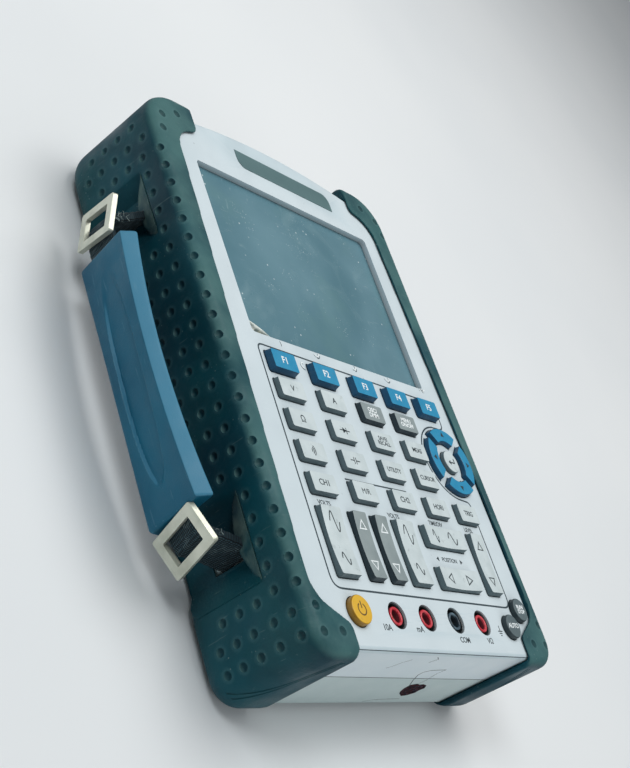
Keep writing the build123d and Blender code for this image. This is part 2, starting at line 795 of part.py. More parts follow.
# ---------------------------------------------------------------- jacks
def jack_bodies():
    """Insulating tubes of the four jacks, from left to right."""
    tubes = []
    low = front_height - jack_depth
    high = front_height - jack_tube_drop
    bore = jack_contact_radius + jack_contact_wall + jack_contact_gap
    foot_height, foot_rim = jack_foot
    for x in jack_x:
        tube = disc(x, jack_y, low, high, jack_tube_radius)
        tube += disc(x, jack_y, low - foot_height, low, jack_tube_radius + foot_rim)
        tube -= disc(x, jack_y, low - foot_height - past, high + past, bore)
        tubes.append(tube)
    return tubes


def jack_contacts():
    """Metal sleeves that take a 4 mm plug, closed at the bottom."""
    sleeves = []
    high = front_height - jack_contact_depth
    low = high - jack_contact_length
    for x in jack_x:
        sleeve = disc(x, jack_y, low - jack_contact_floor, high, jack_contact_radius + jack_contact_wall)
        sleeves.append(sleeve - disc(x, jack_y, low, high + past, jack_contact_radius))
    return sleeves


# ---------------------------------------------------------------- top end
def bnc_shells():
    """The two signal inputs: flange, threaded neck and barrel with its two lugs."""
    shells = []
    z = parting_height
    back = bnc_face_y - bnc_thread_length
    mouth = bnc_face_y + bnc_barrel_length
    lug_length = 2 * (bnc_barrel_radius + bnc_lug_rise)
    for x in (-bnc_x, bnc_x):
        shell = lying(x, bnc_face_y, bnc_face_y + bnc_flange_thickness, z, bnc_flange_radius)
        shell += lying(x, back, mouth, z, bnc_barrel_radius)
        shell += Pos(x, mouth - bnc_lug_setback, z) * Cylinder(bnc_lug_radius, lug_length)
        shell -= lying(x, back - past, mouth + past, z, bnc_bore_radius)
        shells.append(shell)
    return shells


def bnc_insulators():
    """Plastic plug with a contact hole inside each input."""
    cores = []
    z = parting_height
    wide_length, radius, setback = bnc_plug
    wide_end = bnc_face_y + wide_length
    for x in (-bnc_x, bnc_x):
        core = lying(x, bnc_face_y - bnc_thread_length, wide_end, z, bnc_bore_radius - jack_contact_gap)
        core += lying(x, wide_end, bnc_face_y + bnc_barrel_length - setback, z, radius)
        core -= lying(x, wide_end - past, bnc_face_y + bnc_barrel_length, z, bnc_pin_radius)
        cores.append(core)
    return cores


def io_ports():
    """Power socket and USB socket behind the flap."""
    z = parting_height
    front = case_end - flap_thickness - port_gap
    back = front - port_depth
    bottom = front - port_hole_depth

    width, height, hole_radius, pin_radius = power_port
    left = port_side - port_width / 2
    power = block(left, left + width, back, front, z - height / 2, z + height / 2)
    power -= lying(left + width / 2, bottom, front + past, z, hole_radius)
    power += lying(left + width / 2, back, front - past, z, pin_radius)

    width, height, shell, tongue = usb_port
    right = port_width / 2 - port_side
    usb = block(right - width, right, back, front, z - height / 2, z + height / 2)
    usb -= block(right - width + shell, right - shell, bottom, front + past, z + shell - height / 2,
                 z - shell + height / 2)
    usb += block(right - width + 2 * shell, right - 2 * shell, back, front - past,
                 z - tongue / 2, z + tongue / 2)
    return [power, usb]


def port_flap():
    """Soft flap over the sockets, turning about its lower edge."""
    half_x = flap_width / 2
    outer = case_end - flap_inset
    top = parting_height + flap_height / 2
    plate = block(-half_x, half_x, outer - flap_thickness, outer, flap_hinge_z, top)
    plate += Pos(0, flap_hinge_y, flap_hinge_z) * Rot(0, 90, 0) * Cylinder(flap_thickness / 2, flap_width)
    width, height, rise = flap_tab
    tab_top = top - flap_tab_drop
    return plate + block(-width / 2, width / 2, outer, outer + rise, tab_top - height, tab_top)


# ---------------------------------------------------------------- hand strap
def strap_grip():
    """Bowed pad, narrower in the middle, leaning with its front edge outwards."""
    middle = (grip_top_y + grip_bottom_y) / 2
    half = grip_thickness / 2
    ends = [(strap_x, grip_top_y), (strap_x - grip_bow, middle), (strap_x, grip_bottom_y)]
    outer = [(x - half, y) for x, y in ends]
    inner = [(x + half, y) for x, y in ends]
    edge = ThreePointArc(*outer) + Line(outer[2], inner[2])
    edge += ThreePointArc(*reversed(inner)) + Line(inner[0], outer[0])
    bow = extrude(Pos(0, 0, strap_height - grip_width) * make_face(edge), 2 * grip_width)

    side = grip_width / 2
    waist = side - grip_waist / 2
    front = [(grip_top_y, side), (middle, waist), (grip_bottom_y, side)]
    rear = [(y, -z) for y, z in reversed(front)]
    rim = ThreePointArc(*front) + Line(front[2], rear[0])
    rim += ThreePointArc(*rear) + Line(rear[2], front[0])
    face = Plane(origin=(strap_x, 0, strap_height), x_dir=(0, 1, 0), z_dir=(1, 0, 0)) * make_face(rim)
    pad = bow & extrude(face, grip_bow + 2 * grip_thickness, both=True)
    turn = Pos(strap_x, 0, strap_height) * Rot(0, -strap_tilt, 0)
    return turn * Pos(-strap_x, 0, -strap_height) * pad


def buckle_plane(y, angle, roll, twist):
    """Plane of a buckle: x along the strap, y along the buckle's long side."""
    along = Vector(cos(radians(angle)), sin(radians(angle)), 0)
    out = along.cross(Vector(0, 0, 1))
    side = Vector(0, 0, 1) * cos(radians(twist)) + out * sin(radians(twist))
    turned = along * cos(radians(roll)) + side * sin(radians(roll))
    return Plane(origin=(buckle_x, y, buckle_height), x_dir=turned, z_dir=along.cross(side))


def buckle(plane):
    plan = RectangleRounded(buckle_length, buckle_width, buckle_corner)
    plan -= RectangleRounded(buckle_window[1], buckle_window[0], buckle_corner / 2)
    return plane * extrude(Pos(0, 0, -buckle_thickness / 2) * plan, buckle_thickness)


def loop_band(start, end, gap, height):
    """Webbing that turns round two upright bars, its middle at that height."""
    middle = ((start[0] + end[0]) / 2, (start[1] + end[1]) / 2)
    run = hypot(end[0] - start[0], end[1] - start[1])
    angle = degrees(atan2(end[1] - start[1], end[0] - start[0]))
    plan = SlotCenterToCenter(run, 2 * (gap + webbing_thickness)) - SlotCenterToCenter(run, 2 * gap)
    band = extrude(plan, webbing_width)
    return Pos(middle[0], middle[1], height - webbing_width / 2) * Rot(0, 0, angle) * band


def strap_webbing():
    """A closed loop from each moulded bar to its buckle, and a tail from there to the grip."""
    bands = []
    bars = strap_bar_places()
    reach = (buckle_length + buckle_window[1]) / 4
    top = (bars[0], buckle_top, grip_top_y, 1)
    bottom = (bars[1], buckle_bottom, grip_bottom_y, -1)
    for bar_y, spec, grip_y, side in (top, bottom):
        plane = buckle_plane(*spec)
        near = plane.from_local_coords((-side * reach, 0, 0))
        far_bar = plane.from_local_coords((side * reach, 0, 0))
        height = strap_height - webbing_drop
        bands.append(loop_band((strap_bar_x, bar_y), (near.X, near.Y), loop_gap, height))
        tail = loop_band((far_bar.X, far_bar.Y), (strap_x, grip_y), tail_gap, buckle_height)
        inside_grip = Pos(0, grip_y - side * far / 2, 0) * Box(2 * far, far, 2 * far)
        bands.append(tail - inside_grip)
    return bands


# ---------------------------------------------------------------- write the pieces
def all_pieces():
    keys = key_table()
    left, right = bumpers()
    tubes = jack_bodies()
    pieces = {
        "front_shell": front_shell(keys),
        "rear_shell": rear_shell(),
        "bumper_left": left,
        "bumper_right": right,
        "display_window": display_window(),
        "lcd_module": lcd_module(),
        "main_board": main_board(),
        "keypad_board": keypad_board(),
        "jack_bodies_red": [tubes[0], tubes[1], tubes[3]],
        "jack_body_black": tubes[2],
        "jack_contacts": jack_contacts(),
        "badge_plate": Pos(0, 0, front_height - badge_sink) * badge_solid(),
        "bnc_shells": bnc_shells(),
        "bnc_insulators": bnc_insulators(),
        "battery_pack": battery_pack(),
        "battery_cover": battery_cover(),
        "case_screws": case_screws(),
        "io_ports": io_ports(),
        "tilt_stand": tilt_stand(),
        "port_flap": port_flap(),
        "strap_grip": strap_grip(),
        "strap_webbing": strap_webbing(),
        "strap_buckles": [buckle(buckle_plane(*buckle_top)), buckle(buckle_plane(*buckle_bottom))],
    }
    for name, x, y, plan, solid in keys:
        pieces[name] = Pos(x, y, 0) * solid
    return pieces


def base_shift(pieces):
    """Move that puts the origin at the bottom centre of the box round every piece."""
    solids = []
    for shape in pieces.values():
        solids += shape if isinstance(shape, list) else [shape]
    boxes = [solid.bounding_box() for solid in solids]
    low_x = min(box.min.X for box in boxes)
    high_x = max(box.max.X for box in boxes)
    low_y = min(box.min.Y for box in boxes)
    high_y = max(box.max.Y for box in boxes)
    low_z = min(box.min.Z for box in boxes)
    return (-(low_x + high_x) / 2, -(low_y + high_y) / 2, -low_z)


def main():
    os.makedirs("parts", exist_ok=True)
    pieces = all_pieces()
    shift = base_shift(pieces)
    print("origin shift", [round(value, 3) for value in shift])
    for name, shape in pieces.items():
        if isinstance(shape, list):
            shape = Compound(children=[Pos(*shift) * solid for solid in shape])
        else:
            shape = Pos(*shift) * shape
        export_step(shape, f"parts/{name}.step")


if __name__ == "__main__":
    main()
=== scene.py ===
"""Looks of the handheld oscilloscope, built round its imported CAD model.

Everything is in metres in the row frame. Sizes that come from the design are given in millimetres
from the middle of the case, where +Y is the top end and z = 0 is the plane the object lies on.
"""

import itertools
import json
import math
import random

import bmesh
import bpy
from mathutils import Matrix, Vector
from mathutils.bvhtree import BVHTree

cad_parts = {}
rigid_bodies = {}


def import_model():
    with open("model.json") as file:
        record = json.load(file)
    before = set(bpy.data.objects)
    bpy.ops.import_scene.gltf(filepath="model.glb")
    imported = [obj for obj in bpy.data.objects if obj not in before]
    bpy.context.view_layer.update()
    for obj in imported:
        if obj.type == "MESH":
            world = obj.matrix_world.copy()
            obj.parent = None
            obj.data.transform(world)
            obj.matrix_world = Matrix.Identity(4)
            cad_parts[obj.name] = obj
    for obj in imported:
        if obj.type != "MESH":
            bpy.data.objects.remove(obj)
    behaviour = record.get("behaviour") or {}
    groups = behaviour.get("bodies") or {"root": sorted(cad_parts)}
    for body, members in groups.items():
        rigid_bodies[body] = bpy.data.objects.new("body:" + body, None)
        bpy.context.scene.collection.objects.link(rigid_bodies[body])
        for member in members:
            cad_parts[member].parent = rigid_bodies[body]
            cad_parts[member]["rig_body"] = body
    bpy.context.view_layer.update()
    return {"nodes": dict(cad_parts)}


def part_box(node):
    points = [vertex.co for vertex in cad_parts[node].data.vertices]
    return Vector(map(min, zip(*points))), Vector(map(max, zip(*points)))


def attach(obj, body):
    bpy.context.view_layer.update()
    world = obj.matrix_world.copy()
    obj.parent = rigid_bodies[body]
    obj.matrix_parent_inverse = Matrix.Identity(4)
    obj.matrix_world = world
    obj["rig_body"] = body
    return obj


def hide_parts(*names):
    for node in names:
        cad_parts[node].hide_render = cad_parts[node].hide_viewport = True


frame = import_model()
nodes = frame["nodes"]

MM = 0.001
WINDOW_FROM_MIDDLE = 49.75      # the display's middle, up from the case's, in mm
CAMERA_FROM_WINDOW = (-0.4024, -0.27345, 0.2247)
CAMERA_ANGLES = (47.27, -47.55, -25.85)
CAMERA_LENS = 58.66

JACK_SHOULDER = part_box("jack_bodies_red")[1].z - 0.0006
window_low, window_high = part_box("display_window")
window_middle = (window_low + window_high) / 2
window_face = Vector((window_middle.x, window_middle.y, window_high.z))
middle_x = window_middle.x
middle_y = window_middle.y - WINDOW_FROM_MIDDLE * MM
panel_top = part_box("front_shell")[1].z


def at(x, y, z=0.0):
    """A point given in mm from the middle of the case, in the row frame."""
    return Vector((middle_x + x * MM, middle_y + y * MM, z * MM))


def centre(node):
    low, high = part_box(node)
    return (low + high) / 2


# ---------------------------------------------------------------- materials
def colour(code):
    """Linear RGBA of an sRGB colour such as 8899aa."""
    values = []
    for i in (0, 2, 4):
        v = int(code[i:i + 2], 16) / 255
        values.append(v / 12.92 if v <= 0.04045 else ((v + 0.055) / 1.055) ** 2.4)
    return (*values, 1.0)


class Paint:
    """One procedural material and the nodes that make it."""

    def __init__(self, name, roughness=0.5, metallic=0.0, specular=0.5, coat=0.0):
        self.material = bpy.data.materials.new(name)
        self.material.use_nodes = True
        self.tree = self.material.node_tree
        self.shader = self.tree.nodes["Principled BSDF"]
        self.shader.inputs["Roughness"].default_value = roughness
        self.shader.inputs["Metallic"].default_value = metallic
        self.shader.inputs["Specular IOR Level"].default_value = specular
        self.shader.inputs["Coat Weight"].default_value = coat
        self.coordinates = self.tree.nodes.new("ShaderNodeTexCoord").outputs["Object"]

    def put(self, socket, value):
        if isinstance(value, bpy.types.NodeSocket):
            self.tree.links.new(value, socket)
        else:
            socket.default_value = value

    def math(self, operation, a, b=0.0, clamp=False):
        node = self.tree.nodes.new("ShaderNodeMath")
        node.operation = operation
        node.use_clamp = clamp
        self.put(node.inputs[0], a)
        self.put(node.inputs[1], b)
        return node.outputs[0]

    def stretched(self, x=1.0, y=1.0, z=1.0, turn=0.0):
        """Object coordinates turned about Z and scaled along each axis."""
        node = self.tree.nodes.new("ShaderNodeMapping")
        node.inputs["Scale"].default_value = (x, y, z)
        node.inputs["Rotation"].default_value = (0, 0, math.radians(turn))
        self.tree.links.new(self.coordinates, node.inputs["Vector"])
        return node.outputs[0]

    def ramp(self, value, low, high, low_to=0.0, high_to=1.0):
        """Maps low..high to low_to..high_to, with smooth ends."""
        node = self.tree.nodes.new("ShaderNodeMapRange")
        node.interpolation_type = "SMOOTHSTEP"
        self.put(node.inputs["Value"], value)
        for name, limit in zip(("From Min", "From Max", "To Min", "To Max"), (low, high, low_to, high_to)):
            node.inputs[name].default_value = limit
        return node.outputs["Result"]

    def noise(self, scale, low=0.35, high=0.65, detail=4.0, vector=None, seed=0.0, distortion=0.0):
        """Noise with features of about 1 / scale metres, between 0 and 1."""
        node = self.tree.nodes.new("ShaderNodeTexNoise")
        node.noise_dimensions = "4D"
        node.inputs["W"].default_value = seed
        node.inputs["Scale"].default_value = scale
        node.inputs["Detail"].default_value = detail
        node.inputs["Distortion"].default_value = distortion
        self.tree.links.new(vector or self.coordinates, node.inputs["Vector"])
        return self.ramp(node.outputs["Fac"], low, high)

    def cells(self, scale, low, high, vector=None):
        """Round spots from a Voronoi pattern: 1 in their middle, 0 outside."""
        node = self.tree.nodes.new("ShaderNodeTexVoronoi")
        node.inputs["Scale"].default_value = scale
        self.tree.links.new(vector or self.coordinates, node.inputs["Vector"])
        return self.ramp(node.outputs["Distance"], low, high, 1.0, 0.0)

    def attribute(self, name):
        node = self.tree.nodes.new("ShaderNodeAttribute")
        node.attribute_name = name
        return node.outputs["Fac"]

    def facing_up(self, low=0.85, high=0.97):
        """1 where the piece's own surface faces +Z."""
        split = self.tree.nodes.new("ShaderNodeSeparateXYZ")
        geometry = self.tree.nodes.new("ShaderNodeNewGeometry")
        self.tree.links.new(geometry.outputs["Normal"], split.inputs[0])
        return self.ramp(split.outputs["Z"], low, high)

    def height(self):
        """The point's z in metres."""
        split = self.tree.nodes.new("ShaderNodeSeparateXYZ")
        self.tree.links.new(self.coordinates, split.inputs[0])
        return split.outputs["Z"]

    def edges(self, low=0.50, high=0.56):
        """1 on worn outer edges."""
        geometry = self.tree.nodes.new("ShaderNodeNewGeometry")
        return self.ramp(geometry.outputs["Pointiness"], low, high)

    def crevice_shade_mask(self, distance, low=0.35, high=0.95):
        """Mask for painted shade: 1 in corners and gaps, 0 on open surfaces."""
        node = self.tree.nodes.new("ShaderNodeAmbientOcclusion")
        node.samples = 6
        node.inputs["Distance"].default_value = distance
        return self.ramp(node.outputs["AO"], low, high, 1.0, 0.0)

    def mix(self, factor, a, b):
        node = self.tree.nodes.new("ShaderNodeMix")
        node.data_type = "RGBA"
        self.put(node.inputs["Factor"], factor)
        self.put(node.inputs[6], a)
        self.put(node.inputs[7], b)
        return node.outputs[2]

    def scaled(self, factor, amount):
        return self.math("MULTIPLY", factor, amount)

    def base(self, value):
        self.put(self.shader.inputs["Base Color"], value)
        return self

    def rough(self, value):
        self.put(self.shader.inputs["Roughness"], value)
        return self

    def bump(self, value, depth):
        """Relief of that many metres; calls add to each other."""
        node = self.tree.nodes.new("ShaderNodeBump")
        node.inputs["Strength"].default_value = 1.0
        node.inputs["Distance"].default_value = depth
        self.put(node.inputs["Height"], value)
        before = self.shader.inputs["Normal"]
        if before.is_linked:
            self.tree.links.new(before.links[0].from_socket, node.inputs["Normal"])
        self.tree.links.new(node.outputs["Normal"], before)
        return self


def grained_plastic(name, main, shade, light, roughness=0.42, crevice_shade=0.55, dark_spots=True):
    """Moulded plastic: fine grain, cloudy tone, rubbed edges, painted shade in corners, hair scratches."""
    paint = Paint(name, roughness)
    cloud = paint.noise(22, 0.3, 0.7, 6, seed=1.3)
    tone = paint.mix(paint.scaled(cloud, 0.55), colour(main), colour(shade))
    scratch = paint.noise(1.0, 0.66, 0.72, 2, paint.stretched(60, 1900, 60, 24), seed=4.1)
    scratch_b = paint.noise(1.0, 0.67, 0.73, 2, paint.stretched(1700, 45, 50, -37), seed=9.4)
    marks = paint.math("MAXIMUM", scratch, scratch_b)
    tone = paint.mix(paint.scaled(marks, 0.35), tone, colour(light))
    tone = paint.mix(paint.scaled(paint.edges(), 0.45), tone, colour(light))
    if dark_spots:
        spots = paint.cells(190, 0.03, 0.10)
        sparse = paint.noise(45, 0.56, 0.66, 2, seed=7.7)
        spots = paint.math("MULTIPLY", spots, sparse)
        tone = paint.mix(paint.scaled(spots, 0.6), tone, colour("4c585a"))
    # painted shade: the plastic is darkened in its corners and gaps
    corner_shade = paint.crevice_shade_mask(0.0035)
    tone = paint.mix(paint.scaled(corner_shade, crevice_shade), tone, colour("42565b"))
    paint.base(tone)
    paint.rough(paint.ramp(paint.noise(70, 0.3, 0.7, 5, seed=2.2), 0, 1, roughness - 0.08, roughness + 0.14))
    paint.bump(paint.noise(2600, 0.2, 0.8, 2, seed=5.0), 0.00003)
    paint.bump(marks, -0.00002)
    return paint.material


def rubber():
    """Bumper rubber: dark teal, dusty, rubbed paler on its edges, paler on top as painted light mixed with
    wear, with a painted highlight round each dimple and painted shade inside it.
    """
    paint = Paint("bumper_rubber", 0.55, specular=0.2)
    cloud = paint.noise(30, 0.32, 0.68, 6, seed=3.0, distortion=0.4)
    tone = paint.mix(cloud, colour("023542"), colour("0c4c58"))
    green = paint.noise(17, 0.45, 0.70, 5, seed=5.0)
    tone = paint.mix(paint.scaled(green, 0.45), tone, colour("175655"))
    # painted light: paler where the rubber faces up, mixed with rubbed wear in patches
    rub_and_top_light = paint.math("MULTIPLY", paint.facing_up(0.1, 0.75), paint.noise(34, 0.28, 0.66, 8, seed=8.0), True)
    tone = paint.mix(paint.scaled(rub_and_top_light, 0.85), tone, colour("4f7877"))
    worn = paint.math("MULTIPLY", paint.attribute("worn"), paint.noise(110, 0.3, 0.72, 6, seed=9.0), True)
    tone = paint.mix(paint.scaled(worn, 0.62), tone, colour("74897f"))
    # painted highlight: a paler ring round each dimple
    rim = paint.attribute("rim")
    tone = paint.mix(paint.scaled(rim, 0.14), tone, colour("6c9394"))
    # painted shade: darker inside each dimple
    pit = paint.attribute("pit")
    tone = paint.mix(paint.scaled(pit, 0.40), tone, colour("03222e"))
    dust = paint.math("MULTIPLY", paint.cells(420, 0.05, 0.16), paint.noise(60, 0.5, 0.62, 3, seed=6.0))
    tone = paint.mix(paint.scaled(dust, 0.35), tone, colour("8fa5a2"))
    scuff = paint.noise(1.0, 0.66, 0.72, 3, paint.stretched(90, 900, 90, 12), seed=2.0)
    tone = paint.mix(paint.scaled(scuff, 0.18), tone, colour("7d9794"))
    paint.base(tone)
    paint.rough(paint.ramp(paint.noise(55, 0.3, 0.7, 5, seed=11.0), 0, 1, 0.42, 0.68))
    paint.bump(paint.noise(900, 0.2, 0.8, 4, seed=5.0), 0.00006)
    paint.bump(paint.noise(120, 0.2, 0.8, 3, seed=6.5), 0.00012)
    return paint.material


def key_rubber(name, top, side, worn, roughness=0.5):
    """Silicone key: its top one colour clouded with a worn tone, its sloped sides painted darker as shade,
    with painted shade in its crevices.
    """
    paint = Paint(name, roughness)
    up = paint.facing_up(0.70, 0.93)
    cloud = paint.noise(150, 0.3, 0.7, 5, seed=1.0)
    face = paint.mix(paint.scaled(cloud, 0.6), colour(top), colour(worn))
    # painted shade: the sloped sides get a darker colour than the top
    tone = paint.mix(up, colour(side), face)
    smudge = paint.noise(380, 0.60, 0.74, 3, seed=3.3)
    tone = paint.mix(paint.scaled(smudge, 0.25), tone, colour("4e5c60"))
    # painted shade in the key's crevices
    tone = paint.mix(paint.scaled(paint.crevice_shade_mask(0.0022), 0.6), tone, colour("17282e"))
    paint.base(tone)
    paint.rough(paint.ramp(paint.noise(240, 0.3, 0.7, 4, seed=2.0), 0, 1, roughness - 0.1, roughness + 0.12))
    paint.bump(paint.noise(1700, 0.2, 0.8, 3, seed=5.0), 0.00004)
    return paint.material


def screen():
    """Worn display window: grey-blue, cloudy film, hair scratches, white specks of dust, painted shade along
    its edge.
    """
    paint = Paint("display_lens", 0.34, specular=0.5, coat=0.25)
    paint.shader.inputs["Coat Roughness"].default_value = 0.25
    cloud = paint.noise(16, 0.3, 0.7, 5, seed=1.0, distortion=0.6)
    tone = paint.mix(cloud, colour("4d7a88"), colour("6a929f"))
    green = paint.noise(24, 0.48, 0.75, 4, seed=4.0)
    tone = paint.mix(paint.scaled(green, 0.55), tone, colour("66908f"))
    haze = paint.noise(34, 0.52, 0.78, 8, seed=6.0, distortion=1.4)
    tone = paint.mix(paint.scaled(haze, 0.30), tone, colour("8aa9af"))
    marks = 0.0
    for turn, seed in ((-38, 1.0), (-22, 2.0), (-52, 3.0), (24, 4.0), (78, 5.0)):
        thin = paint.noise(1.0, 0.70, 0.74, 1.5, paint.stretched(70, 2600, 40, turn), seed=seed)
        patch = paint.noise(30, 0.54, 0.66, 2, seed=seed + 20)
        marks = paint.math("MAXIMUM", marks, paint.math("MULTIPLY", thin, patch))
    tone = paint.mix(paint.scaled(marks, 0.55), tone, colour("b4c9ce"))
    dust = paint.math("MULTIPLY", paint.cells(260, 0.05, 0.14), paint.noise(60, 0.52, 0.60, 2, seed=8.0))
    tone = paint.mix(paint.scaled(dust, 0.85), tone, colour("e3eef0"))
    fleck = paint.math("MULTIPLY", paint.cells(800, 0.06, 0.24), paint.noise(75, 0.55, 0.64, 3, seed=13.0))
    tone = paint.mix(paint.scaled(fleck, 0.75), tone, colour("d4e3e6"))
    smudge = paint.noise(190, 0.60, 0.76, 5, seed=31.0, distortion=1.0)
    smudge = paint.math("MULTIPLY", smudge, paint.noise(34, 0.5, 0.66, 2, seed=37.0))
    tone = paint.mix(paint.scaled(smudge, 0.45), tone, colour("b9d0d3"))
    # painted shade: darker along the window's edge
    edge = paint.crevice_shade_mask(0.0045, 0.45, 0.9)
    tone = paint.mix(paint.scaled(edge, 0.9), tone, colour("2b444e"))
    paint.base(tone)
    paint.rough(paint.ramp(haze, 0, 1, 0.26, 0.48))
    paint.bump(marks, 0.00002)
    return paint.material


def metal(name, main, shade, roughness=0.3, metallic=0.9):
    """Plated metal with fine scratches, dull patches and painted shade in its crevices."""
    paint = Paint(name, roughness, metallic)
    dull = paint.noise(120, 0.35, 0.75, 6, seed=1.0)
    tone = paint.mix(dull, colour(main), colour(shade))
    specks = paint.noise(1100, 0.68, 0.76, 3, seed=3.0)
    tone = paint.mix(paint.scaled(specks, 0.4), tone, colour("6d6f60"))
    # painted shade in the metal's crevices
    tone = paint.mix(paint.scaled(paint.crevice_shade_mask(0.0015), 0.5), tone, colour("3c3f38"))
    paint.base(tone)
    lines = paint.noise(1.0, 0.45, 0.7, 3, paint.stretched(300, 2600, 300, 15), seed=6.0)
    paint.rough(paint.ramp(lines, 0, 1, roughness - 0.04, roughness + 0.08))
    paint.bump(lines, 0.000004)
    paint.bump(specks, -0.00001)
    return paint.material


def glossy(name, main, rubbed, roughness=0.25, crevice_shade="20282a"):
    """Hard shiny plastic with a rubbed rim and painted shade in its corners."""
    paint = Paint(name, roughness, coat=0.2)
    tone = paint.mix(paint.scaled(paint.noise(260, 0.35, 0.7, 4), 0.6), colour(main), colour(rubbed))
    tone = paint.mix(paint.scaled(paint.edges(0.52, 0.60), 0.6), tone, colour(rubbed))
    # painted shade in the corners
    tone = paint.mix(paint.scaled(paint.crevice_shade_mask(0.002), 0.7), tone, colour(crevice_shade))
    paint.base(tone)
    paint.rough(paint.ramp(paint.noise(400, 0.3, 0.7, 3), 0, 1, roughness - 0.06, roughness + 0.14))
    paint.bump(paint.noise(1500, 0.3, 0.7, 2, seed=4.0), 0.00002)
    return paint.material


def jack_plastic(name, main, rubbed):
    """Jack moulding: the raised ring in its own colour, the sunken shoulder round it painted nearly black as
    shade in the well.
    """
    paint = Paint(name, 0.28, coat=0.2)
    tone = paint.mix(paint.scaled(paint.noise(260, 0.35, 0.7, 4), 0.6), colour(main), colour(rubbed))
    # painted shade: nearly black below the ring's shoulder, down in the well
    well_shade = paint.ramp(paint.height(), JACK_SHOULDER - 0.0002, JACK_SHOULDER, 1.0, 0.0)
    tone = paint.mix(paint.scaled(well_shade, 0.8), tone, colour("101d24"))
    # painted shade in the crevices
    tone = paint.mix(paint.scaled(paint.crevice_shade_mask(0.0015), 0.5), tone, colour("1a0d10"))
    paint.base(tone)
    paint.rough(paint.ramp(paint.noise(400, 0.3, 0.7, 3), 0, 1, 0.22, 0.42))
    paint.bump(paint.noise(1500, 0.3, 0.7, 2, seed=4.0), 0.00002)
    return paint.material


def ink(name, code, roughness=0.6):
    """Printed ink, a little worn."""
    paint = Paint(name, roughness)
    wear = paint.noise(1100, 0.58, 0.80, 4, seed=2.0)
    tone = colour(code)
    paint.base(paint.mix(paint.scaled(wear, 0.35), tone, colour("93a4a8")))
    paint.bump(paint.noise(2400, 0.3, 0.7, 2), 0.00001)
    return paint.material


def burnt():
    """Inside of the damaged spot: near black, with brown and grey-blue flecks."""
    paint = Paint("burnt_plastic", 0.85, specular=0.05)
    tone = paint.mix(paint.noise(900, 0.45, 0.6, 4), colour("140f16"), colour("4a262a"))
    tone = paint.mix(paint.noise(1500, 0.60, 0.68, 3, seed=5.0), tone, colour("62708a"))
    paint.base(tone)
    paint.bump(paint.noise(1200, 0.3, 0.7, 4), 0.0001)
    return paint.material


def webbing_material():
    """Black nylon webbing: cords along the strap with their crests painted lighter as highlight, a weave
    across them, pale worn threads.
    """
    paint = Paint("strap_webbing", 0.85, specular=0.2)
    paint.shader.inputs["Sheen Weight"].default_value = 0.1
    across = paint.attribute("across")
    along = paint.attribute("along")
    cord = paint.ramp(paint.math("SINE", paint.math("MULTIPLY", across, 2 * math.pi / 0.95)), -1, 1)
    weave = paint.ramp(paint.math("SINE", paint.math("MULTIPLY", along, 2 * math.pi / 1.1)), -1, 1)
    cloth = paint.math("MULTIPLY", cord, paint.ramp(weave, 0, 1, 0.35, 1.0))
    # painted highlight: the cord crests are lighter than the grooves between them
    tone = paint.mix(cloth, colour("030f16"), colour("3a5863"))
    worn = paint.noise(230, 0.5, 0.72, 6, seed=3.0)
    tone = paint.mix(paint.scaled(paint.math("MULTIPLY", worn, cord), 0.5), tone, colour("8fa6aa"))
    paint.base(tone)
    paint.bump(cloth, 0.00022)
    return paint.material


def grip_material():
    """Soft plastic of the carrying strap: blue, fine grain, matt, a few scuffs, painted paler where it faces
    up as painted light.
    """
    paint = Paint("strap_grip", 0.46, specular=0.3)
    cloud = paint.noise(26, 0.3, 0.7, 5, seed=2.0)
    tone = paint.mix(cloud, colour("06526e"), colour("0f6480"))
    # painted light: paler where the grip faces up, such as its front facet
    tone = paint.mix(paint.scaled(paint.facing_up(0.30, 0.62), 0.6), tone, colour("4f93b2"))
    scuff = paint.noise(1.0, 0.63, 0.70, 3, paint.stretched(70, 70, 700, 0), seed=5.0)
    tone = paint.mix(paint.scaled(scuff, 0.18), tone, colour("6d99aa"))
    tone = paint.mix(paint.scaled(paint.edges(0.50, 0.58), 0.30), tone, colour("5f95aa"))
    spots = paint.math("MULTIPLY", paint.cells(240, 0.03, 0.09), paint.noise(60, 0.58, 0.66, 2, seed=4.0))
    tone = paint.mix(paint.scaled(spots, 0.7), tone, colour("12313d"))
    paint.base(tone)
    paint.rough(paint.ramp(paint.noise(90, 0.3, 0.7, 5, seed=9.0), 0, 1, 0.38, 0.56))
    paint.bump(paint.noise(1900, 0.2, 0.8, 3, seed=5.0), 0.00004)
    paint.bump(paint.noise(160, 0.2, 0.8, 3, seed=8.0), 0.00008)
    return paint.material


def circuit_board():
    paint = Paint("circuit_board", 0.4)
    tracks = paint.noise(1.0, 0.48, 0.52, 1, paint.stretched(260, 900, 260), seed=1.0)
    paint.base(paint.mix(tracks, colour("12422f"), colour("1f6044")))
    paint.bump(tracks, 0.00003)
    return paint.material


panel_plastic = grained_plastic("panel_plastic", "d1e0e6", "bacdd5", "e6eef2", 0.42, crevice_shade=0.38)
rear_plastic = grained_plastic("rear_plastic", "b4c6c6", "9fb4b5", "cfdcdc", 0.48, crevice_shade=0.55)
stand_plastic = grained_plastic("stand_plastic", "7b8f92", "6b8083", "9fb0b2", 0.5, dark_spots=False)
bumper_rubber = rubber()
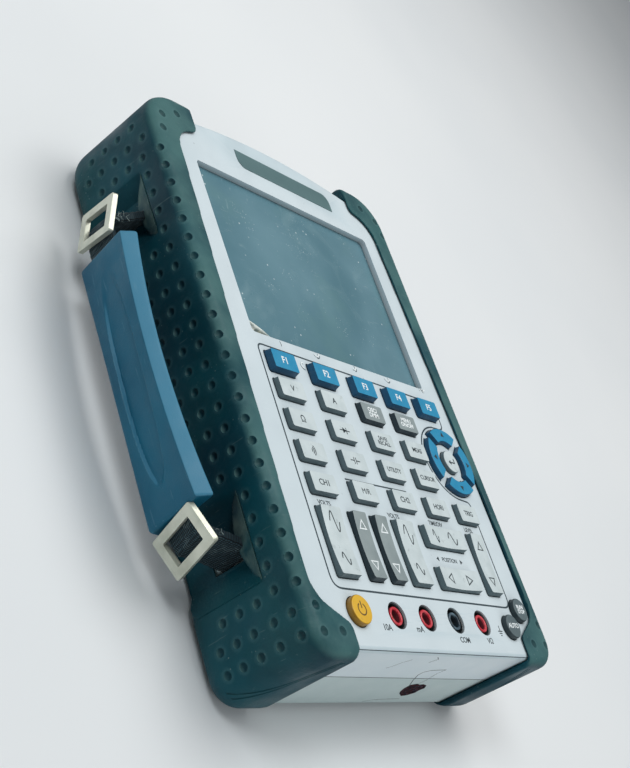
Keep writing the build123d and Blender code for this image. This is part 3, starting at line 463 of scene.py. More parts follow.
# each key's second colour is its sides' colour, painted darker as shade
light_key = key_rubber("light_key_rubber", "d6e1e3", "5a6d73", "c2cfd1")
dark_key = key_rubber("dark_key_rubber", "8b989a", "22343c", "9aa6a6")
blue_key = key_rubber("blue_key_rubber", "0b8cba", "084d70", "2398bf", 0.42)
yellow_key = key_rubber("yellow_key_rubber", "ecbb2c", "a87a14", "e0a91f", 0.4)
black_key = key_rubber("black_key_rubber", "56666b", "22343a", "66767a", 0.45)
display_lens = screen()
buckle_metal = metal("buckle_metal", "e0e2d2", "c6c9b8", 0.36, 0.45)
nickel = metal("nickel", "c6c8c6", "9da19f", 0.28)
steel = metal("screw_steel", "8d9294", "6d7274", 0.38)
brass = metal("contact_brass", "b7a071", "8b7850", 0.35)
red_plastic = jack_plastic("jack_red", "cc2233", "ea6a72")
black_plastic = jack_plastic("jack_black", "1c2f3c", "7f9cab")
port_plastic_and_well_shade = glossy("port_black_and_well_shade", "15191b", "3b4448", 0.4)
insulator = glossy("insulator_white", "e3e3da", "f0f0ea", 0.35, "777a72")
badge_paint = grained_plastic("badge_paint", "4e6e71", "476669", "6f8e90", 0.42, crevice_shade=0.35, dark_spots=False)
dark_ink = ink("dark_ink", "1f3037")
white_ink = ink("white_ink", "f6fcfd")
line_ink_and_painted_shadow = ink("line_ink_and_painted_shadow", "30424a")
brown_ink = ink("brown_ink", "5e4417")
burnt_ink = burnt()
webbing_cloth = webbing_material()
grip_plastic = grip_material()
board_paint = circuit_board()


# ---------------------------------------------------------------- meshes
def soft_edges(obj, width, segments=2, angle=35):
    """Rounds a CAD node's edges with modifiers; its own mesh stays as it is."""
    weld = obj.modifiers.new("weld", "WELD")
    weld.merge_threshold = 1e-6
    bevel = obj.modifiers.new("edges", "BEVEL")
    bevel.width = width
    bevel.segments = segments
    bevel.limit_method = "ANGLE"
    bevel.angle_limit = math.radians(angle)
    bevel.harden_normals = True


def finish_node(node, material, bevel=0.0, segments=2):
    """Gives a CAD node its material and, where it helps, rounded edges."""
    obj = nodes[node]
    obj.data.materials.clear()
    obj.data.materials.append(material)
    if bevel:
        soft_edges(obj, bevel, segments)


def new_object(name, mesh, material, body, smooth_angle=35):
    """A finished piece that rides on a body."""
    mesh.materials.clear()
    mesh.materials.append(material)
    if smooth_angle:
        mesh.shade_smooth()
        mesh.set_sharp_from_angle(angle=math.radians(smooth_angle))
    obj = put_in_scene(name, mesh)
    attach(obj, body)
    return obj


def mesh_from(bm, name):
    bmesh.ops.recalc_face_normals(bm, faces=bm.faces)
    mesh = bpy.data.meshes.new(name)
    bm.to_mesh(mesh)
    bm.free()
    return mesh


def evaluated_mesh(obj):
    graph = bpy.context.evaluated_depsgraph_get()
    return bpy.data.meshes.new_from_object(obj.evaluated_get(graph), depsgraph=graph)


def surface_of(node):
    """Search tree of a CAD node's surface."""
    obj = nodes[node]
    corners = [obj.matrix_world @ v.co for v in obj.data.vertices]
    return BVHTree.FromPolygons(corners, [tuple(p.vertices) for p in obj.data.polygons])


def bridge(bm, pairs):
    """Walls between pairs of rings with the same number of points."""
    for near, far in pairs:
        for i in range(len(near)):
            j = (i + 1) % len(near)
            bm.faces.new((near[i], near[j], far[j], far[i]))


def close_tube(bm, rings):
    """Joins rings of points, one after another, into a tube with closed ends."""
    bridge(bm, zip(rings, rings[1:]))
    bm.faces.new(rings[0])
    bm.faces.new(rings[-1][::-1])


def put_in_scene(name, data):
    obj = bpy.data.objects.new(name, data)
    bpy.context.scene.collection.objects.link(obj)
    return obj


# ---------------------------------------------------------------- bumpers with their dimples
DIMPLE_RADIUS = 1.8
DIMPLE_DEPTH = 1.15
DIMPLE_PITCH = 8.8
DIMPLE_CELL = 6.0       # grid used to find the dimple next to a point
VOXEL = 0.75            # mesh size of the softened bumpers
SMOOTHING = 7           # rounds of smoothing


def dimple_aims():
    """Where the left bumper's dimples are: a point near each one and the way in, in mm."""
    aims = []
    side = Vector((1, 0, 0))
    chamfer = Vector((1, 0, -1.1)).normalized()
    down = Vector((0, 0, -1))
    for i in range(22):
        y = 88.6 - DIMPLE_PITCH * i
        aims.append((Vector((-79.4, y, 49.0)), chamfer))
        aims.append((Vector((-81.5, y + 0.8, 41.3)), side))
    for z in (33.2, 25.0, 16.5):
        for i in range(12):
            aims.append((Vector((-81.5, 47.0 - DIMPLE_PITCH * i, z)), side))
    for y, heights in ((106.0, (40.0, 32.0, 24.0, 16.0)), (97.8, (44.0, 35.5, 27.5, 19.5, 11.8)),
                       (89.4, (33.0, 25.0, 17.0))):
        inward = Vector((1, -max(0.0, y - 99) * 0.06, 0)).normalized()
        for z in heights:
            aims.append((Vector((-81.5, y, z)), inward))
    for x, y in ((-69.0, 117.0), (-60.0, 120.5)):
        for z in (40.0, 31.0, 22.0, 13.5):
            aims.append((Vector((x, y, z)), Vector((0.45 + (x + 60) * -0.04, -1, 0)).normalized()))
    for x, y in ((-76.6, 99.5), (-74.5, 107.6), (-64.6, 112.0)):
        aims.append((Vector((x, y, 52.0)), down))
    for y, heights in ((-96.5, (33.0, 25.0, 17.0)), (-105.2, (45.5, 37.4, 28.4, 20.5, 12.7)),
                       (-113.4, (46.3, 37.0, 28.4, 20.3, 12.9))):
        for z in heights:
            aims.append((Vector((-81.5, y, z)), side))
    for x, y in ((-76.4, -105.0), (-76.2, -114.0), (-66.0, -113.6)):
        aims.append((Vector((x, y, 52.0)), down))
    return aims


# Strap pockets: outer end, ramp there, inner end, middle of the opening for the strap, all along Y.
POCKETS = ((84.5, 6.0, 52.5, 70.5), (-90.5, 11.0, -54.5, -75.5))
POCKET_HEIGHT = 37.9
POCKET_RAMP = 12.0
OUTSIDE = 81.4
POCKET_FLOOR = 75.95
LINING = 0.55
REAR_ROUND = 9.0


def pocket_depth(y, z, outer_end, outer_ramp, inner_end):
    """How far out the pocket's rubber surface is, and how much of it is the rubbed front facet."""
    from_outer = abs(outer_end - y)
    from_inner = abs(y - inner_end)
    along = min(1.0, from_outer / abs(outer_end - inner_end))
    facet = 0.3 + 7.3 * math.sin(math.pi * along) ** 0.75
    ramps = max(0.0, 1 - from_outer / outer_ramp, 1 - from_inner / POCKET_RAMP)
    below = POCKET_HEIGHT - z
    tilt = 1 - 0.36 * below / facet
    front = tilt if below < facet else max(0.0, 0.64 - (below - facet) / 1.8)
    out = POCKET_FLOOR + (OUTSIDE - POCKET_FLOOR) * max(ramps, front)
    if z < REAR_ROUND:
        out = min(out, OUTSIDE - 0.2 - REAR_ROUND + math.sqrt(REAR_ROUND ** 2 - (REAR_ROUND - z) ** 2))
    worn = min(1.0, max(0.0, (facet - below) / 1.2)) if front > ramps and facet > 1.5 else 0.0
    return max(out, POCKET_FLOOR), worn


def pocket_lining(bm, outer_end, outer_ramp, inner_end, strap_y):
    """Rubber skin of a strap pocket: floor, ramps and the slanted facet under its front edge."""
    worn_layer = bm.verts.layers.float.get("worn") or bm.verts.layers.float.new("worn")
    columns, rows = 80, 60
    low_y, high_y = min(outer_end, inner_end), max(outer_end, inner_end)
    outer, inner = {}, {}
    for i in range(columns + 1):
        for j in range(rows + 1):
            y = low_y + (high_y - low_y) * i / columns
            z = 2.9 + (POCKET_HEIGHT - 2.9) * j / rows
            depth, worn = pocket_depth(y, z, outer_end, outer_ramp, inner_end)
            outer[i, j] = bm.verts.new(at(-depth, y, z))
            inner[i, j] = bm.verts.new(at(-depth + LINING, y, z))
            outer[i, j][worn_layer] = worn
    used = []
    for i in range(columns):
        for j in range(rows):
            y = low_y + (high_y - low_y) * (i + 0.5) / columns
            z = 2.9 + (POCKET_HEIGHT - 2.9) * (j + 0.5) / rows
            if abs(y - strap_y) < 3.0 and 15.0 < z < 29.0:
                continue
            used.append((i, j))
    cells = set(used)
    for i, j in used:
        corners = ((i, j), (i + 1, j), (i + 1, j + 1), (i, j + 1))
        bm.faces.new([outer[c] for c in reversed(corners)])
        bm.faces.new([inner[c] for c in corners])
        for beside, a, b in (((i, j - 1), 0, 1), ((i + 1, j), 1, 2), ((i, j + 1), 2, 3), ((i - 1, j), 3, 0)):
            if beside not in cells:
                bm.faces.new((outer[corners[a]], outer[corners[b]], inner[corners[b]], inner[corners[a]]))
    bmesh.ops.delete(bm, geom=[v for v in bm.verts if not v.link_faces], context="VERTS")


# Two fine grooves across the bottom end of a bumper: (x, z) where each one starts and ends.
GROOVES = (((-79.4, 9.0), (-64.6, 47.0)), ((-77.6, 9.0), (-62.8, 47.0)))
GROOVE_RADIUS = 0.42


def cut_groove(cutters, tree, ends, mirror):
    """Adds a thin tube that lies in the bottom end's surface."""
    circle = [(GROOVE_RADIUS * MM * math.cos(math.pi * k / 4), GROOVE_RADIUS * MM * math.sin(math.pi * k / 4))
              for k in range(8)]
    rings = []
    for i in range(25):
        x = ends[0][0] + (ends[1][0] - ends[0][0]) * i / 24
        z = ends[0][1] + (ends[1][1] - ends[0][1]) * i / 24
        hit = tree.ray_cast(at(-x if mirror else x, -140, z), Vector((0, 1, 0)), 0.05)[0]
        if hit:
            rings.append([cutters.verts.new(hit + Vector((1, 0, 0)) * across + Vector((0, 1, 0)) * deep)
                          for across, deep in circle])
    close_tube(cutters, rings)


def softened_copy(node):
    """A copy of a CAD node as one rounded, evenly meshed skin."""
    obj = put_in_scene(node + "_dimpled", evaluated_mesh(nodes[node]))
    remesh = obj.modifiers.new("remesh", "REMESH")
    remesh.mode = "VOXEL"
    remesh.voxel_size = VOXEL * MM
    smooth = obj.modifiers.new("smooth", "SMOOTH")
    smooth.factor = 0.5
    smooth.iterations = SMOOTHING
    obj.data = evaluated_mesh(obj)
    obj.modifiers.clear()
    return obj


def cut_dimples(cutters, tree, mirror):
    """Adds a ball for every dimple and returns the places where they meet the surface."""
    radius = (DIMPLE_RADIUS ** 2 + DIMPLE_DEPTH ** 2) / (2 * DIMPLE_DEPTH)
    spots = []
    for point, way in dimple_aims():
        if mirror:
            point = Vector((-point.x, point.y, point.z))
            way = Vector((-way.x, way.y, way.z))
        hit, normal, _, _ = tree.ray_cast(at(*point) - way * 0.02, way, 0.05)
        if hit is None:
            continue
        if normal.dot(way) > 0:
            normal = -normal
        spots.append(hit)
        origin = hit + normal * (radius - DIMPLE_DEPTH) * MM
        turn = normal.to_track_quat("Z", "Y").to_matrix().to_4x4()
        bmesh.ops.create_uvsphere(cutters, u_segments=20, v_segments=12, radius=radius * MM,
                                  matrix=Matrix.Translation(origin) @ turn)
    return spots


def cut_away(obj, cutters):
    """The mesh left when the cutters are taken out of a piece; the piece itself is removed."""
    cutter = put_in_scene("cutter", mesh_from(cutters, "cutter"))
    cut = obj.modifiers.new("dimples", "BOOLEAN")
    cut.operation = "DIFFERENCE"
    cut.solver = "MANIFOLD"
    cut.object = cutter
    mesh = evaluated_mesh(obj)
    obj.modifiers.clear()
    bpy.data.objects.remove(cutter)
    bpy.data.objects.remove(obj)
    return mesh


def line_pockets(mesh):
    shape = bmesh.new()
    shape.from_mesh(mesh)
    for lining in POCKETS:
        pocket_lining(shape, *lining)
    shape.to_mesh(mesh)
    shape.free()


def spots_by_cell(spots):
    """Dimples listed under every grid cell that is near them."""
    grid = {}
    steps = (-1, 0, 1)
    for spot in spots:
        x, y, z = cell_of(spot)
        for dx, dy, dz in itertools.product(steps, steps, steps):
            grid.setdefault((x + dx, y + dy, z + dz), []).append(spot)
    return grid


def cell_of(point):
    return tuple(int(math.floor(c / (DIMPLE_CELL * MM))) for c in point)


def mark_dimples(mesh, spots):
    """Attributes for the paint: rim is 1 round a dimple, for a painted highlight, and the pit mask is 1
    inside it, for painted shade.
    """
    rim = mesh.attributes.new("rim", "FLOAT", "POINT")
    pit = mesh.attributes.new("pit", "FLOAT", "POINT")
    grid = spots_by_cell(spots)
    radius = DIMPLE_RADIUS * MM
    rims, pits = [], []
    for vertex in mesh.vertices:
        beside = grid.get(cell_of(vertex.co))
        near = min((vertex.co - spot).length for spot in beside) if beside else 1.0
        rims.append(max(0.0, 1 - abs(near - 1.15 * radius) / (0.5 * radius)))
        pits.append(1.0 if near < 0.93 * radius else 0.0)
    rim.data.foreach_set("value", rims)
    pit.data.foreach_set("value", pits)


def dimpled_bumper(node, mirror):
    """A copy of the CAD bumper, softened, with dimples and grooves; the left one has strap pockets."""
    obj = softened_copy(node)
    tree = BVHTree.FromPolygons([v.co.copy() for v in obj.data.vertices],
                                [tuple(p.vertices) for p in obj.data.polygons])
    cutters = bmesh.new()
    spots = cut_dimples(cutters, tree, mirror)
    for groove in GROOVES:
        cut_groove(cutters, tree, groove, mirror)
    mesh = cut_away(obj, cutters)
    if not mirror:
        line_pockets(mesh)
    mark_dimples(mesh, spots)
    piece = new_object(node + "_rubber", mesh, bumper_rubber, "case", 42)
    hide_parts(node)


dimpled_bumper("bumper_left", False)
dimpled_bumper("bumper_right", True)


# ---------------------------------------------------------------- printed marks
INK = 0.05      # thickness of a printed mark
STROKE = 0.42   # usual width of a printed line


def stroke(bm, points, width=STROKE, closed=False):
    """A flat printed line through points, in mm, with mitred corners."""
    count = len(points)
    left, right = [], []
    for i, (x, y) in enumerate(points):
        before = points[i - 1] if i or closed else points[0]
        after = points[(i + 1) % count] if i < count - 1 or closed else points[-1]
        a = Vector((x - before[0], y - before[1]))
        b = Vector((after[0] - x, after[1] - y))
        a = a.normalized() if a.length > 1e-9 else b.normalized()
        b = b.normalized() if b.length > 1e-9 else a
        mitre = (a + b).normalized() if (a + b).length > 1e-6 else a
        across = Vector((-mitre.y, mitre.x)) * (width / 2) / max(0.4, mitre.dot(a))
        left.append((x + across.x, y + across.y))
        right.append((x - across.x, y - across.y))
    rings = []
    for (lx, ly), (rx, ry) in zip(left, right):
        rings.append([bm.verts.new((px, py, pz)) for px, py, pz in
                      ((lx, ly, 0), (rx, ry, 0), (rx, ry, -INK), (lx, ly, -INK))])
    if closed:
        bridge(bm, zip(rings, rings[1:] + rings[:1]))
    else:
        close_tube(bm, rings)


def letters(bm, text, size, x=0.0, y=0.0, bold=0.04):
    """Text centred on (x, y), in mm, as a solid mesh."""
    curve = bpy.data.curves.new("letters", "FONT")
    curve.body = text
    curve.size = size
    curve.align_x = "CENTER"
    curve.align_y = "CENTER"
    curve.extrude = INK / 2
    curve.offset = bold
    curve.space_character = 0.95
    curve.space_line = 0.85
    curve.resolution_u = 3
    obj = put_in_scene("letters", curve)
    bpy.context.view_layer.update()
    mesh = evaluated_mesh(obj)
    mesh.transform(Matrix.Translation((x, y, -INK / 2)))
    bm.from_mesh(mesh)
    bpy.data.objects.remove(obj)
    bpy.data.meshes.remove(mesh)


def wave(width, height, x=0.0, y=0.0):
    """One turn of a sine wave."""
    return [(x + width * (i / 20 - 0.5), y + height / 2 * math.sin(2 * math.pi * i / 20)) for i in range(21)]


def arc(radius, start, end, x=0.0, y=0.0, steps=16):
    angles = [math.radians(start + (end - start) * i / steps) for i in range(steps + 1)]
    return [(x + radius * math.cos(a), y + radius * math.sin(a)) for a in angles]


def triangle(size, turn, x=0.0, y=0.0):
    """Corners of a triangle that points to turn degrees."""
    return [(x + size * math.cos(math.radians(turn + a)), y + size * math.sin(math.radians(turn + a)))
            for a in (0, 120, 240)]


def filled(bm, points):
    """A filled printed shape."""
    top = [bm.verts.new((x, y, 0)) for x, y in points]
    low = [bm.verts.new((x, y, -INK)) for x, y in points]
    bm.faces.new(top)
    bm.faces.new(low[::-1])
    for i in range(len(points)):
        j = (i + 1) % len(points)
        bm.faces.new((top[i], low[i], low[j], top[j]))


def lay_marks(name, bm, node, origin, material, lift=0.03, axes=None, beside=None):
    """Lays flat marks on a CAD node's surface, so that they follow its shape."""
    right, up, out = axes or (Vector((1, 0, 0)), Vector((0, 1, 0)), Vector((0, 0, 1)))
    trees = [surface_of(n) for n in (node, beside) if n]
    for vertex in bm.verts:
        spot = origin + right * vertex.co.x * MM + up * vertex.co.y * MM
        hits = [tree.ray_cast(spot + out * 0.01, -out)[0] for tree in trees]
        hits = [hit for hit in hits if hit]
        base = max(hits, key=lambda hit: hit.dot(out)) if hits else spot
        vertex.co = base + out * (lift + vertex.co.z) * MM
    body = nodes[node]["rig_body"]
    return new_object(name, mesh_from(bm, name), material, body, smooth_angle=0)


def on_key(node, draw, material=None):
    """Draws a key's marks in mm from the middle of its top."""
    bm = bmesh.new()
    draw(bm)
    low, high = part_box(node)
    origin = Vector(((low.x + high.x) / 2, (low.y + high.y) / 2, high.z))
    lay_marks("mark_" + node, bm, node, origin, material or dark_ink)


def word(text, size, bold=0.04):
    return lambda bm: letters(bm, text, size, bold=bold)


for i in range(5):
    on_key(f"key_f{i + 1}", word(f"F{i + 1}", 4.3, bold=0.07), white_ink)
DARK_WORDS = (("volts", "V", 3.7), ("amps", "A", 3.7), ("ohms", "Ω", 4.0), ("save", "SAVE/\nRECALL", 2.6),
              ("measure", "MEAS", 3.0), ("utility", "UTILITY", 2.9), ("cursor", "CURSOR", 2.9),
              ("channel_1", "CH1", 3.5), ("channel_2", "CH2", 3.5), ("horizontal", "HORI", 3.2),
              ("trigger", "TRIG", 3.2))
for name, text, size in DARK_WORDS:
    on_key("key_" + name, word(text, size))
on_key("key_math_reference", word("M/R", 3.4, 0.0))
WHITE_WORDS = (("scope_meter", "OSC/\nDMM", 2.9, 0.08), ("menu_toggle", "MENU\nON/OFF", 2.7, 0.08),
               ("run_stop", "RUN/\nSTOP", 2.4, 0.07), ("auto", "AUTO", 2.9, 0.07))
for name, text, size, bold in WHITE_WORDS:
    on_key("key_" + name, word(text, size, bold), white_ink)


def diode_mark(bm):
    stroke(bm, [(-3.2, 0), (3.2, 0)])
    filled(bm, [(-1.2, 1.3), (1.0, 0), (-1.2, -1.3)])
    stroke(bm, [(1.1, 1.4), (1.1, -1.4)])


def sound_mark(bm):
    for radius in (0.8, 1.7, 2.6):
        stroke(bm, arc(radius, -50, 50, -1.6, 0))


def capacitor_mark(bm):
    stroke(bm, [(-3.0, 0), (-0.6, 0)])
    stroke(bm, [(3.0, 0), (0.6, 0)])
    stroke(bm, [(-0.6, 1.5), (-0.6, -1.5)])
    stroke(bm, [(0.6, 1.5), (0.6, -1.5)])


def power_mark(bm):
    stroke(bm, arc(2.2, 120, 420), 0.5)
    stroke(bm, [(0, 3.0), (0, 0.3)], 0.5)


def enter_mark(bm):
    stroke(bm, [(2.2, 1.6), (2.2, -0.6), (-1.0, -0.6)], 0.6)
    filled(bm, [(-2.6, -0.6), (-0.7, 0.6), (-0.7, -1.8)])


on_key("key_diode", diode_mark)
on_key("key_continuity", sound_mark)
on_key("key_capacitance", capacitor_mark)
on_key("key_power", power_mark, brown_ink)
on_key("key_enter", enter_mark)


def waves(first, second):
    def draw(bm):
        for width, height, x, y in (first, second):
            stroke(bm, wave(width, height, x, y), 0.5)
    return draw


def triangles(first, second, size=2.3):
    def draw(bm):
        for turn, x, y in (first, second):
            stroke(bm, triangle(size, turn, x, y), 0.45, closed=True)
    return draw


for number in (1, 2):
    on_key(f"rocker_volts_{number}", waves((5.6, 7.6, 0.4, 7.4), (4.4, 4.6, 0.2, -7.0)))
    on_key(f"rocker_position_{number}", triangles((90, 0, 7.6), (270, 0, -7.6)), white_ink)
on_key("rocker_time_base", waves((3.6, 5.2, -6.6, 0.2), (6.0, 5.2, 6.0, 0.2)))
on_key("rocker_position", triangles((180, -6.6, 0), (0, 6.6, 0)))
on_key("rocker_level", triangles((90, 0, 7.4), (270, 0, -7.6)))
ring_middle = centre("key_enter")
for node, turn in (("arrow_up", 90), ("arrow_left", 180), ("arrow_down", 270), ("arrow_right", 0)):
    mark = bmesh.new()
    way = math.radians(turn)
    filled(mark, triangle(1.5, turn, 12.9 * math.cos(way), 12.9 * math.sin(way)))
    origin = Vector((ring_middle.x, ring_middle.y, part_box(node)[1].z))
    lay_marks("mark_" + node, mark, node, origin, dark_ink)


def rounded(corners):
    """Points of an outline from its corners and their radii, with an arc at each corner."""
    points = []
    count = len(corners)
    for i, (x, y, radius) in enumerate(corners):
        if not radius:
            points.append((x, y))
            continue
        p = Vector((x, y))
        a = (Vector(corners[i - 1][:2]) - p).normalized()
        b = (Vector(corners[(i + 1) % count][:2]) - p).normalized()
        half = a.angle(b) / 2
        cut = radius / math.tan(half)
        start, end = p + a * cut, p + b * cut
        for step in range(7):
            t = step / 6
            points.append(tuple(start * (1 - t) ** 2 + p * 2 * t * (1 - t) + end * t ** 2))
    return points


def panel_marks():
    """The border line round the keypad and the words printed on the panel."""
    ring_x = (ring_middle.x - middle_x) / MM
    ring_y = (ring_middle.y - middle_y) / MM
    lines = bmesh.new()
    around_ring = [(x, y, 0) for x, y in arc(17.9, 97, 262, ring_x, ring_y, 24)]
    border = [(-58.6, 2.6, 3), (63.3, 1.4, 5), (63.3, -12.8, 4)] + around_ring
    border += [(61.2, -48.9, 2.5), (61.0, -97.6, 5), (-60.8, -97.0, 5)]
    stroke(lines, rounded(border), 0.75, closed=True)
    stroke(lines, [(-30.6, -51.0), (11.0, -50.6)], 0.65)
    lay_marks("panel_lines", lines, "front_shell", at(0, 0, panel_top / MM), line_ink_and_painted_shadow)
    words = bmesh.new()
    for text, size, x, y in (("VOLTS", 2.7, -49.5, -63.6), ("VOLTS", 2.7, -5.5, -63.4),
                             ("TIME/DIV", 2.7, 24.8, -63.2), ("LEVEL", 2.7, 50.6, -63.2),
                             ("POSITION", 2.6, 25.2, -79.3), ("10A", 3.4, -36.0, -110.4),
                             ("mA", 3.4, -15.0, -110.2), ("COM", 3.2, 14.4, -113.3),
                             ("VΩ", 3.2, 33.6, -113.0)):
        letters(words, text, size, x, y)
    filled(words, triangle(1.2, 180, 16.6, -79.3))
    filled(words, triangle(1.2, 0, 33.8, -79.3))
    stroke(words, [(44.6, -106.0), (44.6, -108.4)], 0.4)
    for half, y in ((1.7, -108.4), (1.1, -109.3), (0.5, -110.2)):
        stroke(words, [(44.6 - half, y), (44.6 + half, y)], 0.4)
    lay_marks("panel_words", words, "front_shell", at(0, 0, panel_top / MM), dark_ink)


panel_marks()


def gasket():
    """Dark line between the display and its frame."""
    half_x = (window_high.x - window_low.x) / 2 / MM - 0.35
    half_y = (window_high.y - window_low.y) / 2 / MM - 0.35
    bm = bmesh.new()
    stroke(bm, [(-half_x, -half_y), (half_x, -half_y), (half_x, half_y), (-half_x, half_y)], 0.7, closed=True)
    lay_marks("display_gasket", bm, "display_window", window_face, dark_ink)


gasket()


def end_marks():
    """Bottom end: the seam between the shells, the panel's edge, scratches, and the damaged spot."""
    axes = (Vector((1, 0, 0)), Vector((0, 0, 1)), Vector((0, -1, 0)))
    face = at(0, -119.5, 0)
    lines = bmesh.new()
    stroke(lines, [(-66 + 132 * i / 40, 28.4) for i in range(41)], 0.42)
    stroke(lines, [(14.4, 19.9), (8.4, 26.4), (4.6, 31.6), (4.6, 34.2), (7.2, 36.0), (12.3, 36.6),
                   (16.5, 37.0)], 0.4)
    stroke(lines, [(16.5, 37.0), (15.3, 33.7), (17.2, 26.6), (16.7, 23.3)], 0.25)
    stroke(lines, [(2.4, 5.4), (7.0, 6.9), (11.4, 7.6), (24, 8.2)], 0.22)
    stroke(lines, [(-24, 37.0), (-22.2, 38.9), (-21, 42.0), (-18.0, 44.9)], 0.2)
    stroke(lines, [(-4.4, 43.0), (-2.4, 46.1), (-5.2, 47.8)], 0.3)
    lay_marks("end_lines", lines, "front_shell", face, dark_ink, 0.02, axes, "rear_shell")
    hole = bmesh.new()
    filled(hole, [(17.2, 13.3), (14.9, 15.4), (12.9, 18.8), (12.9, 22.1), (15.9, 23.3), (18.8, 22.4),
                  (20.9, 22.9), (24.6, 21.8), (27.2, 19.0), (26.2, 16.9), (26.9, 14.4), (24.4, 11.7),
                  (21.5, 11.0)])
    lay_marks("end_hole", hole, "rear_shell", face, burnt_ink, 0.05, axes)
    slant = Vector((0, -1, 1)).normalized()
    edge = bmesh.new()
    stroke(edge, [(-66 + 132 * i / 60, 0) for i in range(61)], 0.3)
    corner = at(0, -119.5, 50.4) - slant * MM
    lay_marks("end_edge", edge, "front_shell", corner, line_ink_and_painted_shadow, 0.02,
              (Vector((1, 0, 0)), Vector((0, 1, 1)).normalized(), slant))


end_marks()


# ---------------------------------------------------------------- CAD nodes that stay
for name, paint, bevel in (
        ("front_shell", panel_plastic, 0.0), ("rear_shell", rear_plastic, 0.0),
        ("display_window", display_lens, 0.0), ("lcd_module", steel, 0.0003),
        ("main_board", board_paint, 0.0002), ("keypad_board", board_paint, 0.0002),
        ("jack_bodies_red", red_plastic, 0.0003), ("jack_body_black", black_plastic, 0.0003),
        ("jack_contacts", brass, 0.0), ("badge_plate", badge_paint, 0.0001),
        ("bnc_shells", nickel, 0.0002), ("bnc_insulators", insulator, 0.0002),
        ("battery_pack", port_plastic_and_well_shade, 0.0004), ("battery_cover", rear_plastic, 0.0003),
        ("case_screws", steel, 0.0002), ("io_ports", port_plastic_and_well_shade, 0.0002),
        ("tilt_stand", stand_plastic, 0.0005), ("port_flap", bumper_rubber, 0.0003),
        ("strap_buckles", buckle_metal, 0.0002)):
    finish_node(name, paint, bevel)

KEY_PAINTS = {"key_f": blue_key, "arrow_": blue_key, "key_scope_meter": dark_key, "key_menu_toggle": dark_key,
              "rocker_position_": dark_key, "key_run_stop": black_key, "key_auto": black_key,
              "key_power": yellow_key}
for name in nodes:
    if name.startswith(("key_", "rocker_", "arrow_")):
        paint = next((KEY_PAINTS[start] for start in KEY_PAINTS if name.startswith(start)), light_key)
        finish_node(name, paint, 0.00045, 3)


# ---------------------------------------------------------------- carrying strap
strap_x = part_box("bumper_left")[0].x - 0.0183
grip_low, grip_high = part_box("strap_grip")
GRIP_LEAN = math.radians(9.0)
GRIP_HALF_WIDTH = 15.6
GRIP_WAIST = 1.9
GRIP_HALF_THICKNESS = 3.1
GRIP_FLARE = 0.9            # extra half thickness at the ends
GRIP_FACET = 3.6            # how far the front facet slants back
GRIP_END_ROUND = 1.2
GRIP_HOLLOW = 1.5
GRIP_BOW = 3.1
GRIP_HEIGHT = 27.2
FACE_STEPS = 90             # mesh columns across the outer face
GRIP_STEPS = 280            # and rows along the grip


def slab_section(half_width, half_thick, inset):
    """Outline of the grip's section: outer face first, with a slanted front facet and round corners."""
    corners = ((-half_width, half_thick, 1.9), (half_width - GRIP_FACET, half_thick, 0.8),
               (half_width + 0.6, -half_thick, 1.3), (-half_width, -half_thick, 1.6))
    outline = rounded([(w - math.copysign(inset, w), t - math.copysign(inset, t), r) for w, t, r in corners])
    (w0, t0), (w1, t1) = outline[6], outline[7]
    face = [(w0 + (w1 - w0) * i / FACE_STEPS, t0 + (t1 - t0) * i / FACE_STEPS)
            for i in range(1, FACE_STEPS)]
    return outline[:7] + face + outline[7:]


def hollow_depth(u, w, half_width):
    """Depth of the long oval hollow in the grip's outer face; its lower end is crisp, its upper one fades."""
    along = (u - 0.02) / 0.84
    middle = -1.6 + 0.9 * u
    across = (w - middle) / (half_width * 0.50)
    inside = 1 - abs(along) ** 2.6 - abs(across) ** 2
    sharpness = 4.5 - 2.5 * min(1.0, max(0.0, u + 0.4))
    step = max(0.0, min(1.0, inside * sharpness))
    return GRIP_HOLLOW * (1.0 - 0.45 * max(0.0, u)) * step * step * (3 - 2 * step)


def grip():
    """Bowed, waisted grip with a long hollow in its outer face and a slanted front facet."""
    length = (grip_high.y - grip_low.y) / MM
    middle = (grip_high.y + grip_low.y) / 2
    bm = bmesh.new()
    rings = []
    for i in range(GRIP_STEPS + 1):
        u = -math.cos(math.pi * i / GRIP_STEPS)
        from_end = (1 - abs(u)) * length / 2
        short = max(0.0, GRIP_END_ROUND - from_end)
        inset = GRIP_END_ROUND - math.sqrt(max(0.0, GRIP_END_ROUND ** 2 - short ** 2))
        half_width = GRIP_HALF_WIDTH - GRIP_WAIST * (1 - u * u)
        half_thick = GRIP_HALF_THICKNESS + GRIP_FLARE * u * u
        ring = []
        for w, t in slab_section(half_width, half_thick, inset):
            if t > 0:
                t -= hollow_depth(u, w, half_width)
            x = -(t + GRIP_BOW * (1 - u * u))
            lean_x = x * math.cos(GRIP_LEAN) - w * math.sin(GRIP_LEAN)
            lean_z = w * math.cos(GRIP_LEAN) - x * math.sin(GRIP_LEAN)
            y = middle + u * length / 2 * MM
            ring.append(bm.verts.new((strap_x + lean_x * MM, y, (GRIP_HEIGHT + lean_z) * MM)))
        rings.append(ring)
    close_tube(bm, rings)
    mesh = mesh_from(bm, "strap_grip_soft")
    piece = new_object("strap_grip_soft", mesh, grip_plastic, "hand_strap", 32)
    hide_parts("strap_grip")


grip()


